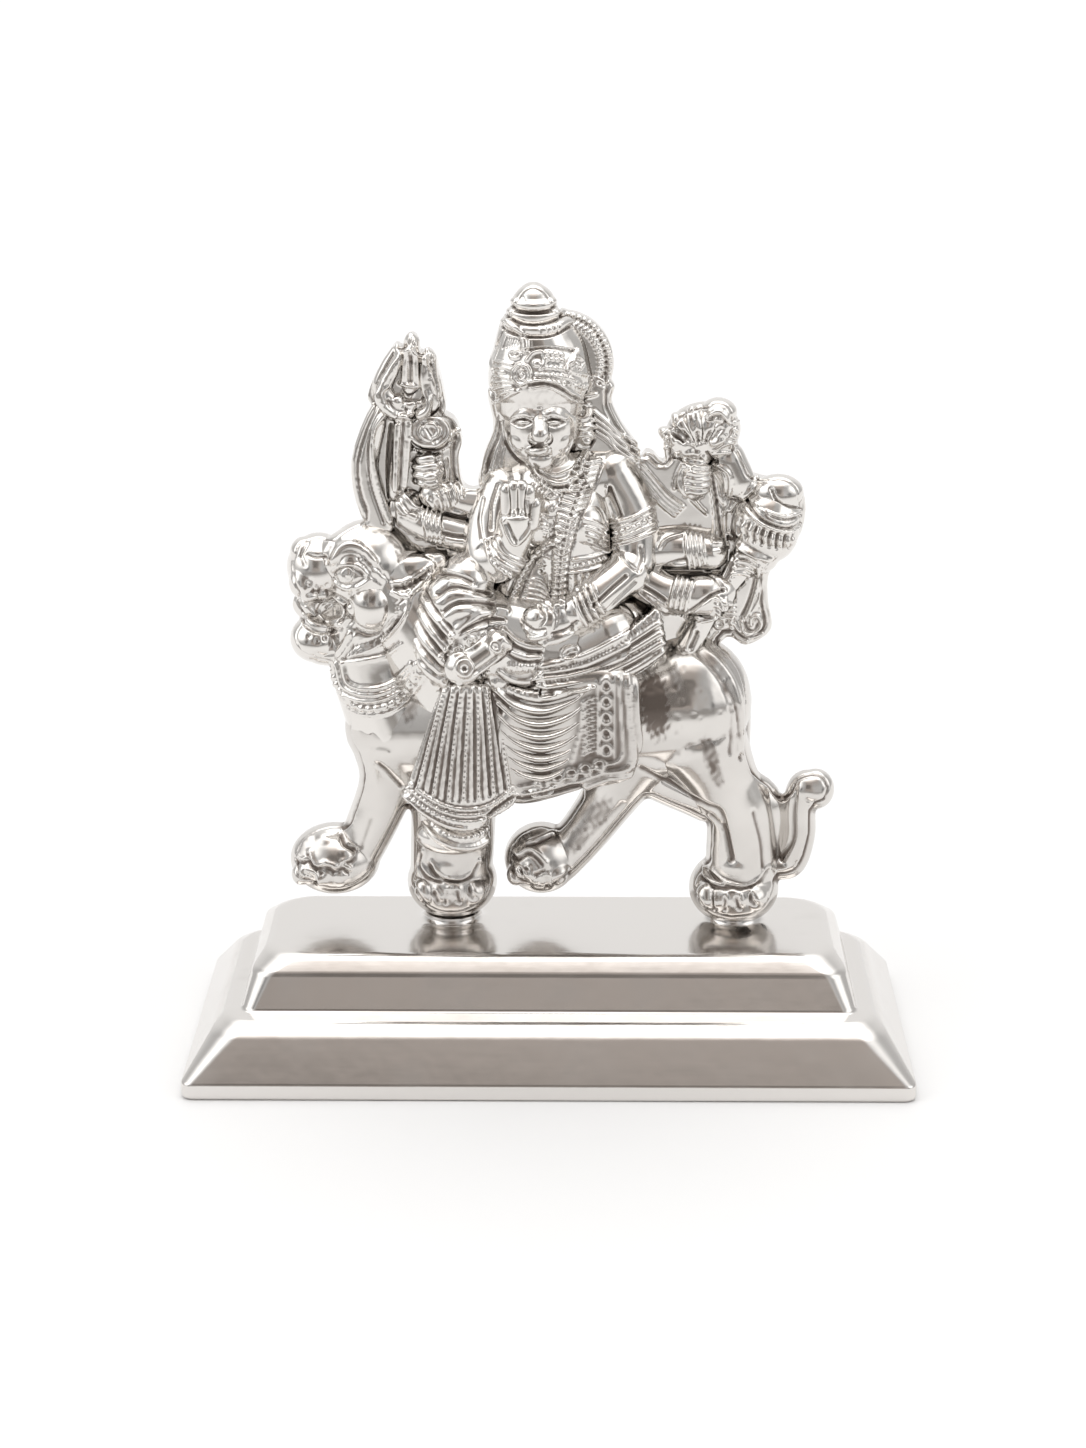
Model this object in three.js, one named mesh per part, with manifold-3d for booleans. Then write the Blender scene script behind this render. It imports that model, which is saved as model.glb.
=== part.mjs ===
// Durga riding her tiger, a small polished silver figure on a two-step plinth.
// Millimetres, +Z up. The goddess faces -Y and the tiger walks towards -X.
// The origin is the centre of the plinth's underside.
import * as THREE from 'three';
import { mergeVertices } from 'three/addons/utils/BufferGeometryUtils.js';
import Module from 'manifold-3d';

// Driving dimensions of the plinth, in millimetres
const PLINTH_LENGTH = 80;
const PLINTH_DEPTH = 36.3;
const RIM_HEIGHT = 1.55;
const RIM_ROUND = 0.6;
const LOWER_STEP_HEIGHT = 7.35;
const LOWER_SLOPE_INSET = 3.9;
const LEDGE_WIDTH = 2.8;
const UPPER_STEP_HEIGHT = 5.75;
const UPPER_SLOPE_INSET = 2.3;
const LOWER_SHOULDER_ROUND = 1.6;
const UPPER_SHOULDER_ROUND = 1.9;

// Driving dimensions of the two collars that carry the standing paws
const COLLAR_HEIGHT = 1.0;
const COLLAR_NECK_RADIUS = 3.1;
const COLLAR_FLARE_WIDTH = 1.5;

// Driving dimensions of the figure. Its pose and carving are shares of its height.
const FIGURE_HEIGHT = 71.8;
const FIGURE_SETBACK = 2.0;

// The joined skin keeps no edge shorter than this share of the height, and no face turns
// further than this cosine when an edge is drawn together
const SHORTEST_EDGE = FIGURE_HEIGHT / 300;
const MOST_TURN = 0.5;

const PLINTH_HEIGHT = LOWER_STEP_HEIGHT + UPPER_STEP_HEIGHT;
const SEAT_LEVEL = PLINTH_HEIGHT + COLLAR_HEIGHT;

const wasm = await Module();
wasm.setup();

// Solids and their joining

function toSolid(geometry) {
  geometry.deleteAttribute('normal');
  geometry.deleteAttribute('uv');
  const closed = mergeVertices(geometry, 1e-5);
  const vertProperties = new Float32Array(closed.attributes.position.array);
  const triVerts = new Uint32Array(closed.index.array);
  return new wasm.Manifold(new wasm.Mesh({ numProp: 3, vertProperties, triVerts }));
}

function toGeometry({ vertProperties, triVerts }) {
  const geometry = new THREE.BufferGeometry();
  geometry.setAttribute('position', new THREE.Float32BufferAttribute(vertProperties, 3));
  geometry.setIndex(Array.from(triVerts));
  geometry.computeVertexNormals();
  return geometry;
}

// Takes the slivers out of a joined skin: a short edge is drawn together to one of its ends,
// where that keeps the skin closed, turns no face over and lifts no corner off the seat
function withoutSlivers({ vertProperties, triVerts }, shortest) {
  const corners = [];
  const around = [];
  for (let index = 0; index < vertProperties.length; index += 3) {
    corners.push(new THREE.Vector3().fromArray(vertProperties, index));
    around.push(new Set());
  }
  const faces = [];
  for (let index = 0; index < triVerts.length; index += 3) {
    const face = Array.from(triVerts.slice(index, index + 3));
    face.forEach((corner) => around[corner].add(faces.length));
    faces.push(face);
  }
  const neighbours = (corner) => {
    const found = new Set([...around[corner]].flatMap((face) => faces[face]));
    found.delete(corner);
    return found;
  };
  const facing = (spots) => new THREE.Triangle(...spots).getNormal(new THREE.Vector3());
  const turnsOver = (face, from, to) => {
    const before = faces[face].map((corner) => corners[corner]);
    const after = faces[face].map((corner) => corners[corner === from ? to : corner]);
    return facing(before).dot(facing(after)) < MOST_TURN;
  };
  const drawTogether = (from, to) => {
    const shared = [...neighbours(from)].filter((corner) => neighbours(to).has(corner));
    const kept = [...around[from]].filter((face) => !faces[face].includes(to));
    const leavesSeat = corners[from].z <= 0 && corners[to].z > 0;
    if (leavesSeat || shared.length !== 2 || kept.some((face) => turnsOver(face, from, to))) {
      return false;
    }
    for (const face of around[from]) {
      if (faces[face].includes(to)) {
        faces[face].forEach((corner) => corner !== from && around[corner].delete(face));
        faces[face] = null;
      } else {
        faces[face] = faces[face].map((corner) => (corner === from ? to : corner));
        around[to].add(face);
      }
    }
    around[from].clear();
    return true;
  };
  for (const limit of [shortest / 8, shortest / 4, shortest / 2, shortest]) {
    for (let from = 0; from < corners.length; from += 1) {
      const reach = (to) => corners[from].distanceTo(corners[to]);
      const near = [...neighbours(from)].filter((to) => reach(to) < limit);
      near.sort((one, two) => reach(one) - reach(two));
      near.some((to) => drawTogether(from, to));
    }
  }
  return { vertProperties, triVerts: new Uint32Array(faces.filter(Boolean).flat()) };
}

const join = (solids) => solids.reduce((whole, solid) => whole.add(solid));

// The plinth: one stepped profile run both ways, so that the corners are mitred

function shoulder(shape, corner, before, after, radius) {
  const start = corner.clone().add(before.clone().sub(corner).setLength(radius));
  const end = corner.clone().add(after.clone().sub(corner).setLength(radius));
  shape.lineTo(start.x, start.y);
  shape.quadraticCurveTo(corner.x, corner.y, end.x, end.y);
}

function steppedProfile(width) {
  const half = width / 2;
  const foot = half - LOWER_SLOPE_INSET;
  const wall = foot - LEDGE_WIDTH;
  const top = wall - UPPER_SLOPE_INSET;
  const shape = new THREE.Shape();
  shape.moveTo(-half + RIM_ROUND, 0);
  for (const side of [1, -1]) {
    const rim = new THREE.Vector2(side * half, RIM_HEIGHT);
    const lower = new THREE.Vector2(side * foot, LOWER_STEP_HEIGHT);
    const inner = new THREE.Vector2(side * wall, LOWER_STEP_HEIGHT);
    const upper = new THREE.Vector2(side * top, PLINTH_HEIGHT);
    const middle = new THREE.Vector2(0, PLINTH_HEIGHT);
    if (side === 1) {
      shape.lineTo(half - RIM_ROUND, 0);
      shape.quadraticCurveTo(half, 0, half, RIM_ROUND);
      shape.lineTo(rim.x, rim.y);
      shoulder(shape, lower, rim, inner, LOWER_SHOULDER_ROUND);
      shape.lineTo(inner.x, inner.y);
      shoulder(shape, upper, inner, middle, UPPER_SHOULDER_ROUND);
    } else {
      shoulder(shape, upper, middle, inner, UPPER_SHOULDER_ROUND);
      shape.lineTo(inner.x, inner.y);
      shoulder(shape, lower, inner, rim, LOWER_SHOULDER_ROUND);
      shape.lineTo(rim.x, rim.y);
      shape.lineTo(-half, RIM_ROUND);
      shape.quadraticCurveTo(-half, 0, -half + RIM_ROUND, 0);
    }
  }
  return shape;
}

function runOfProfile(width, run) {
  const settings = { depth: run, bevelEnabled: false, curveSegments: 4 };
  const geometry = new THREE.ExtrudeGeometry(steppedProfile(width), settings);
  geometry.translate(0, 0, -run / 2);
  geometry.rotateX(Math.PI / 2);
  return geometry;
}

function collar(centre) {
  const flare = COLLAR_NECK_RADIUS + COLLAR_FLARE_WIDTH;
  const curve = new THREE.QuadraticBezierCurve(
    new THREE.Vector2(flare, 0),
    new THREE.Vector2(COLLAR_NECK_RADIUS, 0),
    new THREE.Vector2(COLLAR_NECK_RADIUS, COLLAR_HEIGHT),
  );
  const root = COLLAR_HEIGHT;
  const profile = [new THREE.Vector2(0, -root), new THREE.Vector2(flare, -root)];
  profile.push(...curve.getPoints(4));
  profile.push(new THREE.Vector2(0, COLLAR_HEIGHT));
  const geometry = new THREE.LatheGeometry(profile, 20);
  geometry.rotateX(Math.PI / 2);
  geometry.translate(centre.x, centre.y, PLINTH_HEIGHT);
  return toSolid(geometry);
}

function steppedPlinth(collarCentres) {
  const across = toSolid(runOfProfile(PLINTH_LENGTH, PLINTH_DEPTH));
  const along = toSolid(runOfProfile(PLINTH_DEPTH, PLINTH_LENGTH).rotateZ(Math.PI / 2));
  return join([across.intersect(along), ...collarCentres.map(collar)]);
}

// The figure is set out on a drawing of it, seen from the front and a little above.
// Columns run to the right and rows run down.
// Depth is in squares too, from the figure's middle plane, and minus is nearer the front.
const SQUARES_HIGH = 650.5;
const SQUARE = FIGURE_HEIGHT / SQUARES_HIGH;
const SIGHT_LENGTH = 3000;
const SIGHT_TILT = THREE.MathUtils.degToRad(18.3);
const CENTRE_COLUMN = 549.4;
const CENTRE_ROW = 724;
const CENTRE_HEIGHT = 209.2;
const CENTRE_DEPTH = -18.1;

function at(column, row, depth = 0) {
  const right = (column - CENTRE_COLUMN) / SIGHT_LENGTH;
  const up = (CENTRE_ROW - row) / SIGHT_LENGTH;
  const back = depth - CENTRE_DEPTH;
  const cos = Math.cos(SIGHT_TILT);
  const sin = Math.sin(SIGHT_TILT);
  const rise = (up * (SIGHT_LENGTH + back * cos) - back * sin) / (cos + up * sin);
  const reach = SIGHT_LENGTH + back * cos - rise * sin;
  return new THREE.Vector3(right * reach, depth, rise + CENTRE_HEIGHT).multiplyScalar(SQUARE);
}

// Forms of the figure. Sides round a form: the broad forms have the most.
const BROAD = 10;
const ROUND = 8;
const SMALL = 5;
const FINE = 4;

// An egg: half sizes across, deep and high, in squares, tilted in the drawing in degrees
function egg([column, row, depth], [across, deep, high], tilt = 0, sides = SMALL) {
  const geometry = new THREE.SphereGeometry(1, sides, Math.round(sides * 0.62));
  geometry.rotateX(Math.PI / 2);
  geometry.scale(across * SQUARE, deep * SQUARE, high * SQUARE);
  geometry.rotateY(THREE.MathUtils.degToRad(tilt));
  const centre = at(column, row, depth);
  geometry.translate(centre.x, centre.y, centre.z);
  return toSolid(geometry);
}

// A limb: a round-ended rod along stations of column, row, depth and radius
function limb(stations, flatness = 1, sides = SMALL, steps = stations.length - 1) {
  const centres = stations.map(([column, row, depth]) => at(column, row, depth));
  const path = new THREE.CatmullRomCurve3(centres);
  const widths = new THREE.SplineCurve(
    stations.map((station, index) => new THREE.Vector2(index, station[3] * SQUARE)),
  );
  const geometry = new THREE.CapsuleGeometry(1, 1, sides >= BROAD ? 2 : 1, sides, steps);
  const spots = geometry.attributes.position;
  const rows = new Map();
  for (let index = 0; index < spots.count; index += 1) {
    const height = spots.getY(index);
    const share = THREE.MathUtils.clamp(height + 0.5, 0, 1);
    const beyond = height - (share - 0.5);
    const key = share.toFixed(4);
    if (!rows.has(key)) {
      const along = path.getTangent(share).normalize();
      const side = new THREE.Vector3(0, 1, 0).cross(along);
      if (side.length() < 0.2) {
        side.set(1, 0, 0);
      }
      side.normalize();
      const front = side.clone().cross(along).normalize();
      const radius = widths.getPoint(share).y;
      rows.set(key, { centre: path.getPoint(share), radius, along, side, front });
    }
    const row = rows.get(key);
    const spot = row.centre.clone();
    spot.addScaledVector(row.side, spots.getX(index) * row.radius);
    spot.addScaledVector(row.front, spots.getZ(index) * row.radius * flatness);
    spot.addScaledVector(row.along, beyond * row.radius);
    spots.setXYZ(index, spot.x, spot.y, spot.z);
  }
  return toSolid(geometry);
}

// A ridged limb: the same, with a number of rings or folds that swell round it
function ridged(stations, ridges, swell, flatness = 1, sides = ROUND) {
  const path = new THREE.CatmullRomCurve3(
    stations.map(([column, row, depth]) => new THREE.Vector3(column, row, depth)),
  );
  const widths = new THREE.SplineCurve(
    stations.map((station, index) => new THREE.Vector2(index, station[3])),
  );
  const rings = Array.from({ length: ridges * 2 + 1 }, (unused, index) => {
    const share = index / (ridges * 2);
    const spot = path.getPoint(share);
    return [spot.x, spot.y, spot.z, widths.getPoint(share).y + (index % 2) * swell];
  });
  return limb(rings, flatness, sides);
}

// A fold or band: a thin limb of even radius, pinched at its ends
function fold(points, radius, depth) {
  const last = points.length - 1;
  const stations = points.map(([column, row], index) => {
    const pinch = index === 0 || index === last ? 0.6 : 1;
    return [column, row, depth, radius * pinch];
  });
  return limb(stations, 1, FINE);
}

// A plate: a curved outline with softened edges, between two depths
function plate(outline, front, back, edge = 4) {
  const shape = new THREE.Shape();
  const spots = outline.map(([column, row]) => at(column, row, (front + back) / 2));
  spots.forEach((spot, index) => {
    if (index === 0) {
      shape.moveTo(spot.x, spot.z);
    } else {
      shape.lineTo(spot.x, spot.z);
    }
  });
  const geometry = new THREE.ExtrudeGeometry(shape, {
    depth: (back - front - 2 * edge) * SQUARE,
    bevelThickness: edge * SQUARE,
    bevelSize: edge * SQUARE,
    bevelOffset: -edge * SQUARE,
    bevelSegments: 1,
  });
  geometry.rotateX(Math.PI / 2);
  geometry.translate(0, (back - edge) * SQUARE, 0);
  return toSolid(geometry);
}

// A draped panel: a block whose front follows surface(across, down), with a flat back
function drape(surface, back, columns, rows) {
  const geometry = new THREE.BoxGeometry(1, 1, 1, columns, 1, rows);
  const spots = geometry.attributes.position;
  for (let index = 0; index < spots.count; index += 1) {
    const spot = at(...surface(spots.getX(index) + 0.5, 0.5 - spots.getZ(index)));
    const depth = spots.getY(index) < 0 ? spot.y : back * SQUARE;
    spots.setXYZ(index, spot.x, depth, spot.z);
  }
  return toSolid(geometry);
}

const between = (a, b, share) => a + (b - a) * share;
const mix = (a, b, share) => a.map((value, index) => between(value, b[index], share));
const arch = (share) => Math.sin(share * Math.PI);
const ridge = (share, count) => Math.round(share * count * 2) % 2;

// The tiger

const FORE_PAW = [452, 880, 0];
const HIND_PAW = [733, 886, 0];

function paw([column, row, depth], [across, deep, high], toeColumns, toeRow) {
  const toes = toeColumns.map((toe) => egg([toe, toeRow, depth - deep * 0.78], [12, 15, 18]));
  return [egg([column, row, depth], [across, deep, high], 0, BROAD), ...toes];
}

function tigerBody() {
  return [
    limb([[394, 726, 0, 50], [470, 722, 0, 60], [580, 712, 0, 62], [690, 702, 0, 62]], 0.96, BROAD),
    egg([688, 702, 0], [66, 58, 70], 20, BROAD + 2),
    limb([[697, 735, 0, 52], [722, 775, 0, 38], [742, 812, 0, 33], [743, 868, 0, 32]], 1.1, BROAD),
    limb([[704, 650, 6, 20], [736, 690, 8, 20], [741, 745, 8, 20], [762, 800, 4, 18], [764, 850, 2, 15]]),
    limb([[392, 738, 0, 44], [384, 782, 0, 32], [372, 822, 0, 26], [360, 850, 0, 25]], 1.1, ROUND),
    limb([[452, 760, 0, 44], [456, 820, 0, 40], [452, 868, 0, 40]], 1, ROUND),
    limb([[640, 742, 0, 46], [616, 792, 0, 32], [586, 832, 0, 26], [560, 858, 0, 26]], 1.1, ROUND),
    ...paw([336, 858, 0], [46, 42, 36], [304, 325, 348, 369], 872),
    ...paw(FORE_PAW, [46, 46, 38], [419, 441, 464, 485], 888),
    ...paw([543, 857, 0], [40, 40, 36], [515, 533, 552, 570], 872),
    ...paw(HIND_PAW, [42, 44, 38], [704, 723, 743, 762], 894),
  ];
}

function tail() {
  const stations = [
    [772, 866, 0, 13], [791, 862, 0, 14], [799, 832, 0, 16],
    [799, 800, 0, 16], [805, 787, 0, 18], [813, 789, 0, 18],
  ];
  return [limb(stations, 1.1, ROUND), egg([815, 789, 0], [18, 19, 20], 0, ROUND)];
}

function tigerNeck() {
  return [
    limb([[372, 618, 0, 40], [372, 662, 0, 42], [396, 724, 0, 48]], 1, BROAD),
    ridged([[372, 662, -4, 42], [382, 700, -4, 44]], 3, 6, 1, BROAD),
    limb([[392, 580, 0, 44], [430, 632, 0, 56], [470, 690, 0, 58]], 1, BROAD),
  ];
}

function tigerHead() {
  const ruff = [0, 1, 2].map((lock) => {
    const share = lock / 2;
    const root = mix([402, 606], [354, 640], share);
    const tip = mix([418, 628], [372, 662], share);
    return fold([root, tip], 9, between(-40, -32, share));
  });
  return [
    egg([372, 566, 0], [46, 46, 44], 0, BROAD),
    egg([318, 566, 0], [31, 38, 33], 10, BROAD),
    egg([345, 552, -14], [26, 30, 22], -15, ROUND),
    egg([304, 552, -8], [14, 20, 15]),
    egg([306, 580, -20], [15, 20, 17]),
    egg([374, 598, -24], [23, 24, 22], 0, ROUND),
    egg([384, 606, 0], [42, 42, 44], 0, ROUND),
    egg([316, 639, 0], [26, 32, 25], 0, ROUND),
    limb([[322, 644, 0, 21], [344, 644, 0, 22], [372, 630, 0, 26]], 1.3, ROUND),
    egg([352, 620, 4], [36, 24, 22]),
    egg([348, 573, -38], [9, 8, 8]),
    fold([[338, 556], [356, 545], [390, 556]], 8, -38),
    limb([[392, 574, -20, 16], [414, 572, -24, 16], [438, 562, -20, 8]], 0.8),
    ...ruff,
  ];
}

// The saddle cloth, with its raised border

function saddleCloth() {
  const outline = [
    [560, 660], [632, 664], [635, 766], [590, 784], [524, 800], [500, 780], [500, 700],
  ];
  return [
    plate(outline, -66, 40, 8),
    fold([[606, 676], [608, 756]], 7, -65),
    fold([[625, 672], [627, 760], [580, 779], [536, 792]], 7, -65),
  ];
}

// The goddess's skirt: hips and lap, the raised knee and the hanging pleats

function lapAndKnee() {
  return [
    limb([[618, 640, -8, 46], [560, 646, -16, 50], [500, 636, -22, 50], [462, 622, -24, 48]], 1, BROAD),
    ridged([[468, 580, -34, 26], [462, 602, -34, 38], [454, 644, -32, 38], [452, 672, -28, 28]],
      5, 5, 1.2, BROAD),
    limb([[606, 636, -30, 34], [560, 658, -40, 24], [516, 664, -44, 14]], 1, ROUND),
    egg([520, 662, -56], [17, 14, 10]),
  ];
}

function knotAndBorder() {
  return [
    limb([[466, 668, -78, 14], [498, 645, -72, 12]], 1, SMALL),
    egg([463, 669, -84], [15, 10, 13]),
    fold([[444, 658], [462, 636], [484, 626], [504, 628]], 8, -76),
  ];
}

function pleats() {
  const count = 9;
  const fan = (across, down) => {
    const top = [between(444, 490, across), 688];
    const bottom = [between(406, 518, across), 800 + 28 * arch(across)];
    const swell = 18 * Math.sqrt(arch(between(0.03, 0.97, across)));
    const crease = ridge(across, count) * between(5, 9, down);
    return [...mix(top, bottom, down), -46 - swell - crease];
  };
  return [
    drape(fan, -10, count * 2, 2),
    fold([[402, 800], [426, 820], [462, 832], [494, 822], [522, 802]], 7, -62),
    egg([454, 834, -36], [36, 26, 18], 0, ROUND),
  ];
}

function swags() {
  const count = 7;
  const apron = (across, down) => {
    const sag = arch(across) * between(16, 24, down);
    const left = [between(488, 516, down), between(680, 790, down)];
    const right = [between(594, 566, down), between(682, 782, down)];
    const [column, row] = mix(left, right, across);
    return [column, row + sag * (1 - down * 0.5), -60 - 8 * arch(across) - ridge(down, count) * 6];
  };
  return [drape(apron, -10, 4, count * 2)];
}

function waistSashes() {
  const count = 4;
  const sash = (across, down) => {
    const upper = mix([536, 672], [658, 612], across);
    const lower = mix([546, 704], [662, 650], across);
    const [column, row] = mix(upper, lower, down);
    return [column, row + 12 * arch(across), between(-68, -52, across) - ridge(down, count) * 6];
  };
  return [drape(sash, -10, 3, count * 2)];
}

// The goddess's body, head and crown

function torso() {
  return [
    limb([[584, 618, -4, 46], [572, 570, -6, 42], [560, 512, -6, 48], [556, 492, -4, 44]], 0.9, BROAD),
    limb([[512, 492, 0, 24], [556, 482, -4, 30], [606, 476, 0, 26]], 1, ROUND),
    limb([[528, 530, -2, 36], [530, 600, -6, 40]], 0.9, ROUND),
    limb([[551, 476, -4, 19], [546, 452, -6, 19]]),
    egg([540, 524, -40], [17, 12, 17]),
    egg([582, 524, -38], [19, 13, 18]),
    fold([[530, 466], [546, 480], [564, 478], [586, 456]], 6, -34),
    fold([[548, 576], [580, 576], [606, 568]], 9, -42),
    fold([[600, 462], [576, 496], [564, 540], [560, 600]], 7, -48),
    fold([[566, 500], [538, 546], [512, 632]], 6, -48),
  ];
}

function head() {
  const faceTilt = -4;
  return [
    egg([541, 424, -8], [36, 40, 42], faceTilt, BROAD + 2),
    limb([[541, 412, -46, 4], [541, 430, -49, 5]]),
    egg([528, 420, -44], [7, 5, 4]),
    egg([554, 420, -44], [7, 5, 4]),
    egg([541, 443, -43], [9, 6, 4]),
    egg([585, 426, -4], [8, 12, 20]),
  ];
}

function crown() {
  const dome = [
    [539, 390, -2, 44], [539, 380, -2, 50], [538, 368, -1, 45], [536, 350, 0, 44],
    [534, 341, 0, 36], [534, 336, 0, 37], [533, 330, 0, 28], [533, 325, 0, 30],
    [533, 317, 0, 20], [533, 311, 0, 22], [533, 302, 0, 18], [533, 294, 0, 12],
  ];
  return [
    limb(dome, 0.95, BROAD),
    egg([524, 374, -44], [9, 9, 11]),
    egg([502, 366, -24], [16, 24, 22]),
    fold([[512, 322], [516, 338], [527, 354]], 8, -34),
    fold([[544, 356], [574, 352]], 9, -40),
  ];
}

function halo() {
  const steps = 14;
  const rim = Array.from({ length: steps }, (unused, index) => {
    const turn = (index / steps) * Math.PI * 2;
    return [563 + 51 * Math.cos(turn), 362 - 52 * Math.sin(turn)];
  });
  return [plate(rim, -4, 20, 6)];
}

function hair() {
  return [
    limb([[500, 400, 4, 16], [498, 436, 4, 14], [490, 480, 4, 14]], 1.2),
    plate([[500, 400], [530, 430], [540, 476], [486, 486], [481, 458], [490, 430]], -10, 18),
    plate([[586, 392], [610, 424], [644, 456], [630, 486], [566, 486], [560, 430]], -8, 18),
    limb([[590, 400, 4, 20], [606, 436, 4, 16], [640, 462, 4, 12]], 1.2),
  ];
}

// Her two front arms

function frontArms() {
  const fingers = [[508, 491], [515, 487], [522, 488], [529, 492]].map(([column, row]) =>
    limb([[between(518, column, 0.8), 514, -62, 4], [column, row, -62, 3.5]], 1, FINE));
  return [
    limb([[506, 492, -4, 25], [492, 528, -14, 25], [493, 558, -30, 24], [508, 556, -46, 18]], 1, ROUND),
    limb([[508, 556, -46, 16], [517, 536, -56, 13], [518, 518, -60, 12]], 0.9),
    egg([517, 520, -60], [13, 8, 17]),
    ...fingers,
    limb([[533, 522, -62, 4], [535, 504, -62, 3.5]], 1, FINE),
    limb([[612, 474, -2, 24], [632, 512, -8, 22], [634, 556, -18, 21], [626, 572, -30, 20]], 1, ROUND),
    ridged([[628, 516, -7, 21], [632, 538, -12, 21]], 2, 5),
    limb([[628, 572, -30, 20], [600, 594, -48, 17], [576, 612, -58, 15]], 1, ROUND),
    ridged([[606, 590, -46, 17], [584, 606, -55, 16]], 3, 5),
    egg([550, 622, -62], [24, 15, 18], -8, ROUND),
    ridged([[532, 630, -72, 6], [552, 616, -74, 7]], 3, 3, 1, SMALL),
  ];
}

// The raised arms on the tiger's head side: trident, sword and discus

function swordSideArms() {
  const backing = [
    [372, 404], [384, 412], [446, 412], [462, 436], [459, 455], [463, 482], [476, 488],
    [500, 480], [500, 580], [448, 574], [436, 552], [392, 540], [361, 512], [352, 458],
  ];
  const trident = [
    [372, 402], [371, 384], [384, 360], [396, 343], [411, 334],
    [422, 346], [438, 356], [444, 388], [444, 412], [410, 420],
  ];
  const blade = [
    [372, 404], [384, 414], [376, 458], [379, 488],
    [392, 522], [382, 531], [361, 512], [352, 458],
  ];
  const discus = Array.from({ length: 8 }, (unused, index) => {
    const turn = (index / 8) * Math.PI * 2;
    return [430 + 15 * Math.cos(turn), 432 - 11 * Math.sin(turn)];
  });
  return [
    plate(backing, -6, 18),
    plate(trident, -9, 16),
    limb([[408, 406, -12, 7], [388, 392, -12, 7], [392, 366, -12, 6], [397, 346, -12, 4]], 1, FINE),
    limb([[410, 404, -12, 7], [410, 366, -12, 7], [411, 340, -12, 4]], 1, FINE),
    limb([[410, 406, -12, 7], [428, 392, -12, 7], [430, 370, -12, 6], [430, 354, -12, 5]], 1, FINE),
    plate(blade, -18, 12, 3),
    limb([[404, 412, -12, 6], [396, 492, -12, 6]], 1, FINE),
    plate(discus, -22, 0, 3),
    fold([[409, 436], [432, 450], [458, 430]], 6, -14),
    egg([432, 472, -12], [14, 14, 16]),
    egg([400, 508, -12], [17, 14, 16]),
    limb([[500, 506, -2, 16], [462, 500, -8, 13], [434, 494, -10, 12]]),
    ridged([[462, 500, -8, 13], [438, 494, -10, 12]], 3, 4, 1, SMALL),
    limb([[500, 548, -2, 18], [470, 538, -10, 15], [436, 528, -12, 14], [408, 516, -12, 12]]),
    ridged([[448, 532, -12, 14], [424, 523, -12, 13]], 3, 4, 1, SMALL),
  ];
}

// The raised arms on the tail side: lotus, mace and bow

function lotusSideArms() {
  const backing = [
    [630, 452], [664, 456], [668, 430], [700, 408], [736, 414], [738, 452],
    [762, 484], [800, 486], [800, 530], [770, 566], [767, 596], [770, 626],
    [745, 642], [726, 634], [700, 660], [640, 672], [616, 640], [616, 600],
  ];
  const petals = 6;
  const lotus = (across, down) => {
    const turn = THREE.MathUtils.degToRad(between(190, 345, across));
    const reach = between(42, 8, down);
    const crease = ridge(across, petals) * 6 * (1 - down * 0.5);
    const depth = -22 - 6 * arch(down) - crease;
    return [702 + reach * 0.92 * Math.cos(turn), 452 + reach * Math.sin(turn), depth];
  };
  const mace = [
    [760, 552, -4, 20], [766, 536, -4, 26], [776, 512, -4, 28], [784, 494, -4, 20], [790, 486, -4, 10],
  ];
  const bow = [[758, 552], [764, 580], [756, 606]];
  const spiral = [[750, 606], [765, 618], [754, 634], [741, 624], [752, 616]];
  return [
    plate(backing, -6, 18),
    egg([702, 430, -2], [38, 26, 30], -10, ROUND),
    drape(lotus, 0, petals * 2, 2),
    egg([722, 410, -8], [19, 22, 13]),
    limb([[736, 456, 0, 18], [746, 474, 0, 18]]),
    ridged(mace, 5, 5, 1, BROAD),
    limb([[764, 546, -12, 13], [740, 566, -18, 10], [712, 606, -24, 7], [688, 646, -22, 9]]),
    fold([[702, 452], [682, 478], [702, 512]], 7, -18),
    fold([[710, 456], [730, 480], [724, 514]], 7, -18),
    egg([694, 478, -16], [13, 14, 18]),
    limb([[708, 462, -20, 5], [720, 560, -22, 8]], 1, FINE),
    fold([[620, 452], [652, 474], [682, 508]], 9, -14),
    limb([[640, 552, -4, 20], [676, 548, -14, 17], [710, 552, -18, 15]]),
    ridged([[678, 548, -14, 17], [702, 550, -17, 16]], 3, 4, 1, SMALL),
    limb([[636, 576, -10, 18], [668, 592, -20, 17], [706, 594, -24, 19]]),
    ridged([[666, 592, -20, 17], [690, 594, -23, 17]], 3, 4, 1, SMALL),
    egg([712, 594, -24], [21, 16, 17], -20),
    limb(bow.map(([column, row]) => [column, row, -6, 8]), 1, FINE),
    limb(spiral.map(([column, row]) => [column, row, -8, 7]), 1.4, FINE),
    limb([[690, 632, -14, 13], [684, 644, -16, 11]]),
  ];
}

function durgaOnTiger() {
  const forms = [
    ...tigerBody(), ...tail(), ...tigerNeck(), ...tigerHead(), ...saddleCloth(), ...lapAndKnee(),
    ...knotAndBorder(), ...pleats(), ...swags(), ...waistSashes(), ...torso(), ...head(), ...crown(),
    ...halo(), ...hair(), ...frontArms(), ...swordSideArms(), ...lotusSideArms(),
  ];
  const floor = new THREE.BoxGeometry(FIGURE_HEIGHT * 2, FIGURE_HEIGHT, FIGURE_HEIGHT);
  floor.translate(0, 0, -FIGURE_HEIGHT / 2);
  return join(forms).subtract(toSolid(floor));
}

// The group

const silver = () => new THREE.MeshStandardMaterial({ color: 0xe6e2dd, metalness: 1, roughness: 0.14 });

function pieceOf(name, skin) {
  const mesh = new THREE.Mesh(toGeometry(skin), silver());
  mesh.name = name;
  return mesh;
}

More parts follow.
